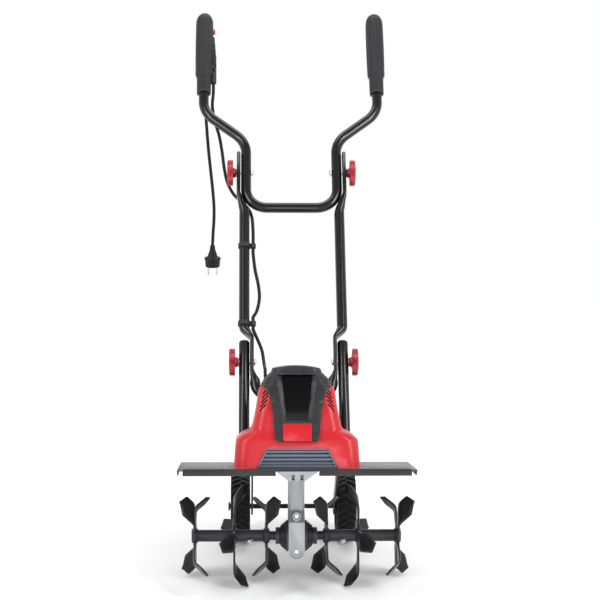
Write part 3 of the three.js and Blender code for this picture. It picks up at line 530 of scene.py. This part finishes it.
def tine_star(x, first_turn, first_side):
    """A welded hub with four blades, bent to one side and the other in turn."""
    hub = turned([(-3, 12), (-3, 23), (-2.4, 24.5), (2.4, 24.5), (3, 23), (3, 12)], 40, looped=True)
    weld = turned([(a, 11.6 + 3.4 * math.sqrt(max(1 - (a / 6.4) ** 2, 0)))
                   for a in (-6.3, -5, -3, 3, 5, 6.3)], 40)
    arms = [moved(blade(first_side * (-1 if arm % 2 else 1)),
                  Matrix.Rotation(math.radians(first_turn + 90 * arm), 4, "X")) for arm in range(4)]
    return moved(merged(hub, weld, *arms), Matrix.Translation((x, 0, 0)))


for side, sign in SIDES:
    for name, turn, out in (("inner", 45, -sign), ("middle", 5, -sign), ("outer", 45, sign)):
        make(f"tine_star_{name}_{side}", tine_star(sign * STAR_X[name], turn, out), MACHINE, 0.35, 2, 40, 40)
    sleeve = turned([(57, 9), (57, 11), (57.6, 11.5), (198.4, 11.5), (199, 11), (199, 9)], 48,
                    looped=True)
    make(f"tine_sleeve_{side}", handed(sleeve, sign), MACHINE, 0)
    pin = turned([(-21, 3.8), (-20.4, 5), (-17.6, 5), (-17, 4.2), (-16.6, 2.5), (14, 2.5), (15, 1.6)],
                 24, "Z", (sign * PIN_X, 0, 0))
    clip = moved(swept([(6.5 * math.cos(a), 6.5 * math.sin(a), 0)
                        for a in [math.radians(20 + 16 * k) for k in range(21)]], 0.9, 10),
                 Matrix.Translation((sign * PIN_X, -2, -16.5)) @ Matrix.Rotation(math.radians(70), 4, "X"))
    make(f"tine_pin_{side}", moved(merged(pin, clip), Matrix.Rotation(math.radians(-60), 4, "X")),
         MACHINE, 0)
    bell = turned([(15.8, 13.4), (15.8, 29.4), (16.4, 30), (19, 30), (20, 29.2), (21, 27.4), (23.5, 25.6),
                   (26, 24), (26.4, 22.8), (28.4, 21.4), (30.4, 20), (31, 17), (32.6, 16.4), (33, 15.8),
                   (33.8, 15.8), (34.2, 16.4), (36, 16.4), (36.4, 15.8), (37.2, 15.8), (37.6, 16.4),
                   (39.6, 16.4), (40, 16), (40, 9.1), (27, 9.1), (27, 13.4)], 56, looped=True)
    make(f"axle_bell_{side}", handed(bell, sign), MACHINE, 0)
make("tine_axle", turned([(-130, 8), (-129, 8.7), (129, 8.7), (130, 8)], 48), MACHINE, 0)


# ---- gear case, bolts, guard and brackets ----------------
rounded_copy("gear_case_front", 0.9, 3)
rounded_copy("gear_case_rear", 0.9, 3)
for name, z in (("upper", 40), ("lower", -28)):
    head = turned([(-30.2, 2.2), (-30.2, 3.9), (-29.6, 4.7), (-28, 4.8), (-27.3, 4.8)], 32, "Y", (0, 0, z))
    shank = turned([(-28, 2), (16.5, 2), (17, 1.5)], 20, "Y", (0, 0, z))
    socket = turned([(-30.35, 2.3), (-30.1, 2.3)], 6, "Y", (0, 0, z))
    make(f"case_bolt_{name}", merged(head, shank, socket), MACHINE, 0)
for node, width in (("tine_guard", 0.7), ("wheel_bracket_left", 0.6), ("wheel_bracket_right", 0.6),
                    ("cable_clip_upper", 0.5), ("cable_clip_lower", 0.5)):
    rounded_copy(node, width, 2)


# ---- wheels ----------------------------------------------
WHEEL = {"y": 250, "z": 31, "x": 109, "radius": 70.0, "half": 20.0, "bars": 30}


def wheel_form():
    """A moulded wheel: hub, ribbed web and a rim with curved cleats round it."""
    half = WHEEL["half"]
    steps = 5                               # along a cleat, from the middle of the tread to its side
    rim = turned([(-half, 5.3), (-half, 11.5), (-half + 1, 13), (-8, 14.5), (-4.5, 18), (-3, 24), (-3, 46),
                  (-5, 50), (-half + 3, 54), (-half + 1, 55.5), (-half, 57.5), (-half, 64),
                  (-half + 1.5, 66.5), (half - 1.5, 66.5), (half, 64), (half, 57.5), (half - 1, 55.5),
                  (half - 3, 54), (5, 50), (3, 46), (3, 24), (4.5, 18), (8, 14.5), (half - 1, 13),
                  (half, 11.5), (half, 5.3)], 72, looped=True)
    parts = [rim]
    for k in range(WHEEL["bars"]):
        for hand in (-1, 1):
            rings = []
            for step in range(steps + 1):
                x = hand * (0.8 + (half - 1.6) * step / steps)
                start = 2 * math.pi * (k + (0.5 if hand > 0 else 0)) / WHEEL["bars"]
                turn = start + 0.16 * (step / steps) ** 2
                top = WHEEL["radius"] - (1.4 if step == steps else 0)
                rings.append([(x, r * math.cos(turn + w), r * math.sin(turn + w))
                              for r, w in ((65.5, -0.055), (top, -0.042), (top, 0.042), (65.5, 0.055))])
            parts.append(ringed(rings))
    spoke = merged(block((-9, -3), (-1.6, 1.6), (14, 49)), block((3, 9), (-1.6, 1.6), (14, 49)))
    for k in range(6):
        parts.append(moved(spoke, Matrix.Rotation(k * math.pi / 3, 4, "X")))
    return merged(*parts)


for side, sign in SIDES:
    centre = Matrix.Translation((sign * WHEEL["x"], WHEEL["y"], WHEEL["z"]))
    make(f"wheel_{side}", moved(wheel_form(), centre), MACHINE, 0.5, 2, 40, 40)
end = WHEEL["x"] + WHEEL["half"] + 1.5
wheel_axle = turned([(-end - 4, 3), (-end - 4, 7.6), (-end - 2.6, 9), (-end - 0.6, 9), (-end, 8.4),
                     (-end, 5), (end, 5), (end, 8.4), (end + 0.6, 9), (end + 2.6, 9), (end + 4, 7.6),
                     (end + 4, 3)], 40, "X", (0, WHEEL["y"], WHEEL["z"]))
make("wheel_axle", wheel_axle, MACHINE, 0)


# ---- motor housing ---------------------------------------
# Height, half width, front and rear faces and corner radius, as the CAD housing has them.
HOUSING = [
    (GUARD_TOP + 0.4, 121, -76, 76, 26), (150, 120, -76, 76, 28), (187, 117, -72, 76, 30),
    (199, 105, -69, 77, 30), (208, 88, -67, 78, 28), (224, 83, -65, 79, 26), (250, 78, -61, 79, 26),
    (281, 73, -54, 76, 24), (288, 70, -52, 74, 22), (296, 61, -49, 68, 20), (305, 56, -45, 62, 18),
    (320, 41, -36, 50, 14)]
HOOD_EDGE = 294.0


def held(slope, straight):
    """A slope kept between level and 1.6 times the straight one, so that the curve can't overshoot."""
    if straight < 0:
        return max(min(slope, 0), 1.6 * straight)
    return max(min(slope, 1.6 * straight), 0)


def eased_levels(steps=5):
    """The housing's levels with soft transitions between them."""
    levels = []
    for k in range(len(HOUSING) - 1):
        a, b, c = HOUSING[max(k - 1, 0)], HOUSING[k], HOUSING[k + 1]
        d = HOUSING[min(k + 2, len(HOUSING) - 1)]
        for step in range(steps):
            t = step / steps
            t2, t3 = t * t, t ** 3
            row = [b[0] + (c[0] - b[0]) * t]
            for i in range(1, 5):
                before = held((c[i] - a[i]) / (c[0] - a[0]) * (c[0] - b[0]), c[i] - b[i])
                after = held((d[i] - b[i]) / (d[0] - b[0]) * (c[0] - b[0]), c[i] - b[i])
                row.append((2 * t3 - 3 * t2 + 1) * b[i] + (t3 - 2 * t2 + t) * before
                           + (3 * t2 - 2 * t3) * c[i] + (t3 - t2) * after)
            levels.append(tuple(row))
    return levels + [HOUSING[-1]]


LEVELS = eased_levels()


def skin(out, down=0.0, corner_steps=9):
    """The housing's skin moved out by a distance, its foot lowered if asked."""
    rings = []
    for k, (z, half, front, rear, corner) in enumerate(LEVELS):
        r = max(corner + out, 2)
        height = z + (out if k == len(LEVELS) - 1 else 0) - (down if k == 0 else 0)
        crown = (2.5 + out / 3) * max(z - 290, 0) / 30
        ring = []
        for quarter, (sx, sy) in enumerate(((1, 1), (-1, 1), (-1, -1), (1, -1))):
            cx, cy = sx * (half + out - r), (rear + out - r if sy > 0 else front - out + r)
            for step in range(corner_steps + 1):
                turn = (quarter + step / corner_steps) * math.pi / 2
                ring.append((cx + r * math.cos(turn), cy + r * math.sin(turn)))
            if quarter in (0, 2):
                x, y = ring[-1]
                ring += [(x * (1 - step / 4), y) for step in range(1, 8)]
        rings.append([(x, y, height + crown * (1 - (x / half) ** 2)) for x, y in ring])
    middle = (LEVELS[-1][2] + LEVELS[-1][3]) / 2
    for inward in (0.7, 0.35, 0.02):
        rings.append([(x * inward, middle + (y - middle) * inward,
                       height + crown * (1 - (x * inward / half) ** 2)) for x, y in ring])
    return ringed(rings)


def slab(low, high):
    """All of the housing between two heights."""
    return block((-200, 200), (-200, 200), (low, high))


def widened(outline, by):
    return [(x + math.copysign(by, x), z) for x, z in outline]


GRILLE = [(-58, 173), (-75.7, 139), (75.7, 139), (58, 173)]
HOOD_FRONT = [(-70, 296), (-62, 287), (-53, 275), (-46, 240), (-42.5, 196), (-41, 190), (-37, 186.4),
              (-33, 186), (33, 186), (37, 186.4), (41, 190), (42.5, 196), (46, 240), (53, 275), (62, 287),
              (70, 296), (70, 400), (-70, 400)]
INSERT = [(-29.5, 312), (-19.6, 226), (19.6, 226), (29.5, 312)]
FLANK = [(-38, 312.6), (-28.5, 223), (28.5, 223), (38, 312.6)]
LABEL = [(-27.5, 220.5), (-27.5, 187), (27.5, 187), (27.5, 220.5)]
LABEL_MIDDLE = 203


def vent_slots():
    """Slanting slots through the housing's front corners, beside the hood, and rows in its rear face."""
    cuts = []
    slit = block((-1.9, 1.9), (-40, 20), (-9.5, 9.5))
    for _, sign in SIDES:
        inward = Matrix.Rotation(sign * math.radians(38), 4, "Z")
        lean = Matrix.Rotation(sign * math.radians(-40), 4, "Y")
        for k in range(5):
            place = Matrix.Translation((sign * (62 + 0.6 * k), -55, 283 - 8.4 * k))
            cuts.append(moved(slit, place @ inward @ lean))
    for k in range(7):
        cuts.append(block((-42, 42), (60, 90), (196 + 8.5 * k, 199.4 + 8.5 * k)))
    return cuts


def housing():
    """A shell with its openings cut, and a near-black sheet just inside it, painted shade that the vents show."""
    red = solid("motor_housing_fine", skin(0), MACHINE)
    grille_opening = prism(widened(GRILLE, 0.7), -100, -50, "Y")
    gland_hole = turned([(50, 7.5), (95, 7.5)], 28, "Y", (GLAND.x, 0, GLAND.z))
    holes = [skin(-3, down=20), grille_opening, gland_hole] + vent_slots()
    carve(red, ("INTERSECT", slab(100, HOOD_EDGE - 0.3)), *[("DIFFERENCE", hole) for hole in holes])
    settle(bevel(red, 0.7, 2, 40), 38)
    fit(settle(evened(red), 38), "motor_housing")
    # painted shade: a near-black sheet inside the shell, so that its openings look dark
    shade_sheet = carve(solid("vent_shade_sheet", skin(-4.2), MACHINE),
                   ("INTERSECT", slab(136, 290)))
    shade_sheet.data.materials.clear()
    shade_sheet.data.materials.append(PAINTED_SHADE_SHEET)
    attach(shade_sheet, "root")


def hood():
    """A shell over the housing: a band down its front and a cap above, with a recess and a label seat."""
    inside = ("DIFFERENCE", skin(0.3, down=30))
    black = carve(solid("motor_hood_fine", skin(5), MACHINE), inside,
                  ("INTERSECT", prism(HOOD_FRONT, -120, -20, "Y")))
    cap = carve(solid("cap", skin(5), MACHINE), inside, ("INTERSECT", slab(HOOD_EDGE, 400)))
    boolean(black, "UNION", cap)
    # The recess: its flanks slope in from a wide mouth to a narrow floor.
    floor_y, mouth_y = 0.6, 5.6
    beyond = [(x * 1.12, z) for x, z in FLANK]
    recess = ringed([[(x, front_at(z) - depth, z) for x, z in subdivided(outline)]
                     for depth, outline in ((floor_y, INSERT), (mouth_y, FLANK), (mouth_y + 8, beyond))])
    label_seat = prism(widened(LABEL, 0.4), -120, front_at(LABEL_MIDDLE) - 2.6, "Y")
    carve(black, ("DIFFERENCE", recess), ("DIFFERENCE", label_seat))
    settle(bevel(black, 0.8, 3, 36), 36)
    return fit(settle(evened(black), 36), "motor_hood")


def subdivided(outline, steps=10):
    """The outline with each side split in equal parts, so that it can follow the housing's front."""
    points = []
    for (x0, z0), (x1, z1) in zip(outline, outline[1:] + outline[:1]):
        points += [(x0 + (x1 - x0) * k / steps, z0 + (z1 - z0) * k / steps) for k in range(steps)]
    return points


def front_at(z):
    """The housing's front face at a height, before any offset."""
    for low, high in zip(LEVELS, LEVELS[1:]):
        if low[0] <= z <= high[0]:
            return low[2] + (high[2] - low[2]) * (z - low[0]) / (high[0] - low[0])
    return LEVELS[-1][2] if z > LEVELS[-1][0] else LEVELS[0][2]


def hood_insert():
    """A thin plate on the recess's floor, in rows so that it can follow the housing's front."""
    low, high, rows = 224.5, 313.0, 22
    levels = [low + (high - low) * k / rows for k in range(rows + 1)]
    edge = [(19.4 + (z - 226) / 86 * 9.9 + 0.2, z) for z in levels]
    outline = [(-half, z) for half, z in edge] + [(half, z) for half, z in reversed(edge)]
    rings = [[(x, front_at(z) - out, z) for x, z in outline] for out in (0.7, 1.5)]
    plate = solid("hood_insert_fine", ringed(rings), MACHINE)
    shape = bmesh.new()
    shape.from_mesh(plate.data)
    bmesh.ops.triangulate(shape, faces=[f for f in shape.faces if len(f.verts) > 4])
    shape.to_mesh(plate.data)
    shape.free()
    fit(settle(plate, 30), "hood_insert")


def label_plate():
    """A blank plate with round corners, leaning with the housing's front."""
    y = front_at(LABEL_MIDDLE)
    radius = 2.4
    outline = []
    for cx, cz, start in ((25, 218, 0), (-25, 218, 90), (-25, 189.5, 180), (25, 189.5, 270)):
        for turn in [math.radians(start + a) for a in (0, 30, 60, 90)]:
            outline.append((cx + radius * math.cos(turn), cz + radius * math.sin(turn)))
    lean = (front_at(218) - front_at(189)) / 29
    rings = [[(x, y - out + (z - LABEL_MIDDLE) * lean, z) for x, z in outline] for out in (2.8, 6.4)]
    make("label_plate", ringed(rings), MACHINE, 0.7, 3)


def front_grille():
    """A frame round four slats that lean out at their tops."""
    foot, head, rail = 139, 173, 2.6
    front_and_back = (-79.2, -71.5)

    def half_at(z):
        return 75.7 - (z - foot) * (75.7 - 58) / (head - foot)
    parts = []
    for z0, z1 in ((foot, 141.4), (170.8, head)):
        parts.append(ringed([[(-half_at(z0), y, z0), (half_at(z0), y, z0), (half_at(z1), y, z1),
                              (-half_at(z1), y, z1)] for y in front_and_back]))
    for sign in (-1, 1):
        parts.append(ringed([[(sign * half_at(foot), y, foot), (sign * (half_at(foot) - rail), y, foot),
                              (sign * (half_at(head) - rail), y, head), (sign * half_at(head), y, head)]
                             for y in front_and_back]))
    for k in range(4):
        z = 141.6 + k * 7.4
        low, high = half_at(z) - 2.2, half_at(z + 6.0) - 2.2
        parts.append((
            [(-low, -74.6, z), (low, -74.6, z), (high, -78.8, z + 5.2), (-high, -78.8, z + 5.2),
             (-low, -72, z), (low, -72, z), (high, -72, z + 6.6), (-high, -72, z + 6.6)],
            [(0, 1, 2, 3), (4, 7, 6, 5), (0, 4, 5, 1), (1, 5, 6, 2), (2, 6, 7, 3), (3, 7, 4, 0)]))
    make("front_grille", merged(*parts), MACHINE, 0.35, 2)


housing()
hood()
hood_insert()
label_plate()
front_grille()
gland = turned([(72, 7), (80.8, 7), (81, 8.6), (81.6, 9), (84.6, 8.6), (85.4, 7.4), (86, 6.6), (88.5, 6.3),
                (89.5, 5.6), (91, 6.1), (93, 5.9), (94, 5.2), (95.5, 5.7), (98, 5.4), (99, 4.8),
                (100.5, 5.2), (104, 4.6)], 36, "Y", (GLAND.x, 0, GLAND.z))
make("cable_gland", gland, MACHINE, 0)


# ---- handles, drawn in the handle frame as x across and v up 
FLAT_UP, FLAT_DOWN = 114.4, 85.5            # middles of the mid handle's pressed ends
FLAT_THIN, FLAT_WIDE = 4.3, 15.0            # half sizes of a fully pressed tube


def bent_line(stops, arc_steps=10):
    """The centre line of a bent tube, from corners (x, v, bend radius, how far pressed flat)."""
    line = []
    for i, (x, v, bend, flat) in enumerate(stops):
        if not bend:
            line.append((x, v, flat))
            continue
        here = Vector((x, v))
        back = (Vector(stops[i - 1][:2]) - here).normalized()
        ahead = (Vector(stops[i + 1][:2]) - here).normalized()
        half = back.angle(ahead) / 2
        middle = here + (back + ahead).normalized() * bend / math.sin(half)
        first = here + back * bend / math.tan(half) - middle
        last = here + ahead * bend / math.tan(half) - middle
        sweep = math.atan2(first.x * last.y - first.y * last.x, first.dot(last))
        for step in range(arc_steps + 1):
            c, s = math.cos(sweep * step / arc_steps), math.sin(sweep * step / arc_steps)
            line.append((middle.x + first.x * c - first.y * s, middle.y + first.x * s + first.y * c, flat))
    return line


def eased_line(line, spacing=7.0):
    """Extra points wherever the pressing changes, so that it changes softly."""
    full = [line[0]]
    for a, b in zip(line, line[1:]):
        if a[2] != b[2]:
            parts = max(int(math.dist(a[:2], b[:2]) / spacing), 3)
            for k in range(1, parts):
                t = k / parts
                soft = t * t * (3 - 2 * t)
                full.append((a[0] + (b[0] - a[0]) * t, a[1] + (b[1] - a[1]) * t,
                             a[2] + (b[2] - a[2]) * soft))
        full.append(b)
    return full


def tube_form(line, sides=36, wall=1.6, depth=16):
    """A hollow-ended tube along a line in the handle plane, pressed to a flat oval where it says."""
    def ring(i, inset, shift=0.0):
        x, v, flat = line[i]
        before, after = line[max(i - 1, 0)], line[min(i + 1, len(line) - 1)]
        along = Vector((after[0] - before[0], after[1] - before[1])).normalized()
        thin = TUBE + (FLAT_THIN - TUBE) * flat - inset
        wide = TUBE + (FLAT_WIDE - TUBE) * flat - inset
        power = 2 / (2 + 1.4 * flat)
        points = []
        for a, b in circle(1, sides):
            across = math.copysign(abs(a) ** power, a) * thin
            deep = math.copysign(abs(b) ** power, b) * wide
            points.append((x + along.y * across + along.x * shift, deep,
                           v - along.x * across + along.y * shift))
        return points
    last = len(line) - 1
    rings = [ring(0, wall, depth), ring(0, wall), ring(0, 0.4), ring(0, 0, 0.5)]
    rings += [ring(i, 0) for i in range(1, last)]
    rings += [ring(last, 0, -0.5), ring(last, 0.4), ring(last, wall), ring(last, wall, -depth)]
    return ringed(rings)


def both_sides(stops):
    """The stops of the left half, and the same mirrored back along the right one."""
    return stops + [(-x, v, bend, flat) for x, v, bend, flat in reversed(stops)]


MID_STOPS = both_sides([
    (-FLAT_UP, PIVOT + 46, 0, 1), (-FLAT_UP, PIVOT - 52, 0, 1), (-FLAT_UP + 2, PIVOT - 60, 0, 0.8),
    (-LEG_X - 1, PIVOT - 92, 0, 0.15), (-LEG_X, PIVOT - 102, 0, 0), (-LEG_X, 80, 0, 0),
    (-LEG_X + 0.6, 75, 0, 0.12), (-FLAT_DOWN - 0.5, 55, 0, 0.95), (-FLAT_DOWN, 50, 0, 1),
    (-FLAT_DOWN, -20, 0, 1), (-FLAT_DOWN + 2.5, -30, 0, 0.7), (-FLAT_DOWN + 6.5, -43, 0, 0.05),
    (-FLAT_DOWN + 6.5, -76, 31, 0)])
UPPER_STOPS = both_sides([
    (-GRIP_X, PIVOT + 398, 0, 0), (-GRIP_X, PIVOT + 154, 60, 0), (-UPPER_LEG_X, PIVOT + 78, 60, 0),
    (-UPPER_LEG_X, PIVOT - 86, 45, 0)])
make("mid_handle", tube_form(eased_line(bent_line(MID_STOPS))), HANDLE, 0, sharp=50)
make("upper_handle", tube_form(bent_line(UPPER_STOPS, 14)), HANDLE, 0, sharp=50)
for side, sign in SIDES:
    post = [(-212, 9.5), (-212, 10.6), (-211.4, 11), (42, 11), (44.4, 10.6), (46.2, 9.2), (47, 7), (47, 1)]
    make(f"lower_tube_{side}", turned(post, 48, "Z", (sign * LEG_X, 0, 0)), HANDLE, 0, sharp=50)


# ---- knobs and their bolts -------------------------------
def star_knob(inner, v):
    """A six-lobed knob: a crowned, fluted head on a stepped stem."""
    sides = 96

    def lobes(scale, inset, level):
        ring = []
        for k in range(sides):
            a = 2 * math.pi * k / sides
            r = (24.5 + 3.5 * math.cos(6 * a)) * scale - inset
            ring.append((level, r * math.cos(a), v + r * math.sin(a)))
        return ring
    base = inner + 7
    head = ringed([lobes(scale, inset, base + up) for scale, inset, up in (
        (0.5, 0, 0.5), (1, 2.2, 0.2), (1, 0.7, 0.9), (1, 0, 2.2), (1, 0, 9.4), (1, 0.8, 11.2),
        (1, 2.4, 12.3), (0.7, 1.5, 13), (0.42, 0, 12.9), (0.36, 0, 11.9), (0.05, 0, 11.9))])
    stem = turned([(inner, 8.2), (inner + 0.6, 9), (inner + 3, 9.2), (inner + 3.2, 10), (inner + 7, 11),
                   (inner + 9, 13)], 48, "X", (0, 0, v))
    return merged(head, stem)


def carriage_bolt(head, tip, v):
    """A domed head and a plain shank, along X."""
    return turned([(head, 1), (head + 0.7, 4.4), (head + 2.2, 6.9), (head + 4, 8), (head + 5, 8),
                   (head + 5, 4), (tip - 1, 4), (tip, 3)], 36, "X", (0, 0, v))


for level, v, head, inner in (("upper", PIVOT, UPPER_LEG_X - TUBE - 5.4, FLAT_UP + 4.6),
                              ("lower", 0, FLAT_DOWN - FLAT_THIN - 5.4, LEG_X + TUBE + 0.3)):
    for side, sign in SIDES:
        for node, form in ((f"knob_{level}_{side}", star_knob(inner, v)),
                           (f"knob_bolt_{level}_{side}", carriage_bolt(head, inner + 12, v))):
            make(node, handed(form, sign), HANDLE, 0, sharp=38)


# ---- grips -----------------------------------------------
def grip_form(x):
    """A sleeve, a step, a fluted barrel that swells a little, and a domed end."""
    sides, flutes, barrel = 84, 14, 32      # barrel: steps along the fluted part
    levels = [(202, 11.4), (202, 14.4), (203.2, 15.4), (206, 15.7), (240, 16), (246, 16.2), (248.6, 17.6),
              (250, 18.8), (254, 19.3), (262, 19.4), (266, 19.5)]
    levels += [(268 + 3.8 * k, 19.6 + 0.5 * math.sin(math.pi * k / barrel)) for k in range(barrel + 1)]
    levels += [(393, 19.2), (398, 18.4), (403, 16.8), (407, 14.6), (410.4, 11.6), (412.8, 7.6),
               (413.8, 3.6), (414, 0.8)]
    rings = []
    for u, radius in levels:
        depth = 1.1 * max(0, min((u - 262) / 8, 1)) * max(0, min((396 - u) / 8, 1))
        ring = []
        for k in range(sides):
            a = 2 * math.pi * k / sides
            r = radius - depth * (0.5 + 0.5 * math.cos(flutes * a)) ** 2
            ring.append((x + r * math.cos(a), 1.08 * r * math.sin(a), PIVOT + u))
        rings.append(ring)
    return ringed(rings)


make("grip_right", grip_form(GRIP_X), HANDLE, 0, sharp=50)


def switch_grip():
    """The left grip also holds the switch: two cable bosses, a lead sleeve, a lever slot and a button."""
    x = -GRIP_X
    body = settle(solid("switch_grip_fine", grip_form(x), HANDLE))

    def on_cord(profile, out):
        return turned(profile, 32, "Z", (out.x, out.y, PIVOT + CORD_V))
    boss = [(0, 5.2), (0.6, 6.2), (2, 6.6), (34, 6.6), (38, 4.6), (40, 1)]
    ribs = []
    for k in range(7):
        level = -26 + 3.6 * k
        r = 4.45 + 0.17 * k
        ribs += [(level, r), (level + 2.2, r + 0.25), (level + 2.3, r - 0.75), (level + 3.5, r - 0.7)]
    sleeve = [(-26, 2)] + ribs + [(1, 5.6)]
    extras = settle(solid("switch_grip_bosses", merged(
        on_cord(boss, LEAD_EXIT), on_cord(boss, CABLE_OUT), on_cord(sleeve, LEAD_EXIT)), HANDLE))
    slot = block((x + 13, x + 40), (-6.6, 6.6), (PIVOT + 260, PIVOT + 354))
    hole = turned([(x + 12.3, 7), (x + 40, 7)], 40, "X", (0, 0, PIVOT + BUTTON_V))
    carve(body, ("DIFFERENCE", slot), ("DIFFERENCE", hole), place=HANDLE, sharp=50)
    fit(body, "switch_grip")
    extras.data.materials.append(LOOKS["grip_rubber"])
    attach(extras, "upper_frame")


switch_grip()


def switch_lever():
    """A paddle in the handle plane: proud of the grip at its free lower end, with finger scallops."""
    steps = 12
    outline = [(13.6, 352), (19, 352.4), (22.5, 350)]
    outline += [(22.5 + 4.6 * k / steps + 0.5 * math.sin(k * 1.9), 350 - 58 * k / steps)
                for k in range(1, steps + 1)]
    outline += [(27.5, 280), (27.4, 270), (26, 264), (23, 262), (19.6, 262), (19, 265), (19, 282),
                (13.6, 338)]
    form = prism([(x - GRIP_X, PIVOT + v) for x, v in outline], -5.9, 5.9, "Y")
    make("switch_lever", form, HANDLE, 1.5, 3, 30)


switch_lever()
button = turned([(-176, 3), (-176, 6.5), (-170.6, 6.5), (-169, 6), (-168.2, 5), (-168, 3.6), (-168.3, 2)],
                40, "X", (0, 0, PIVOT + BUTTON_V))
make("lock_off_button", button, HANDLE, 0)


# ---- inside: the motor and gears keep their CAD shapes ---
for node in ("motor_stator", "motor_shaft", "armature", "cooling_fan", "shaft_bearing", "worm_wheel",
             "axle_bearing_left", "axle_bearing_right"):
    frame["nodes"][node].data.set_sharp_from_angle(angle=math.radians(35))


# ---- floor, backdrop and light ---------------------------
def studio():
    """A white sky that dims toward the zenith, a pale floor and five soft lamps."""
    world = bpy.data.worlds.new("studio")
    world.use_nodes = True
    nodes, links = world.node_tree.nodes, world.node_tree.links
    nodes["Background"].inputs["Color"].default_value = (1, 1, 1, 1)
    split, fade = nodes.new("ShaderNodeSeparateXYZ"), nodes.new("ShaderNodeMapRange")
    links.new(nodes.new("ShaderNodeTexCoord").outputs["Generated"], split.inputs["Vector"])
    links.new(split.outputs["Z"], fade.inputs["Value"])
    for socket, value in (("From Min", 0.25), ("From Max", 0.70), ("To Min", 1.0), ("To Max", 0.45)):
        fade.inputs[socket].default_value = value
    links.new(fade.outputs["Result"], nodes["Background"].inputs["Strength"])
    bpy.context.scene.world = world
    bpy.context.scene.view_settings.view_transform = "Standard"
    floor = bpy.data.objects.new("floor", bpy.data.meshes.new("floor"))
    shape = bmesh.new()
    bmesh.ops.create_grid(shape, x_segments=1, y_segments=1, size=1.7)
    shape.to_mesh(floor.data)
    shape.free()
    floor.data.materials.append(
        material("paper", (0.93, 0.93, 0.93), 0.9, bump=0.02, mottle=0.01, sheen=0.1))
    floor.location.z = -0.0008
    bpy.context.scene.collection.objects.link(floor)
    target = MACHINE @ Vector((0, 100, 420))
    for name, place, size, power in (("key_left", (-2.0, -1.5, 2.1), (0.6, 2.4), 38),
                                     ("key_right", (2.0, -1.5, 2.0), (0.6, 2.4), 50),
                                     ("top", (0.0, 0.9, 2.9), (2.6, 1.2), 34),
                                     ("low_front", (0.1, -3.6, 0.9), (0.5, 2.2), 9),
                                     ("rim", (0.6, 2.4, 1.7), (1.8, 1.2), 7)):
        light = bpy.data.lights.new(name, "AREA")
        light.shape = "RECTANGLE"
        light.size, light.size_y = size
        light.energy = power
        lamp = bpy.data.objects.new(name, light)
        lamp.location = place
        lamp.rotation_euler = (target - Vector(place)).to_track_quat("-Z", "Y").to_euler()
        bpy.context.scene.collection.objects.link(lamp)


studio()
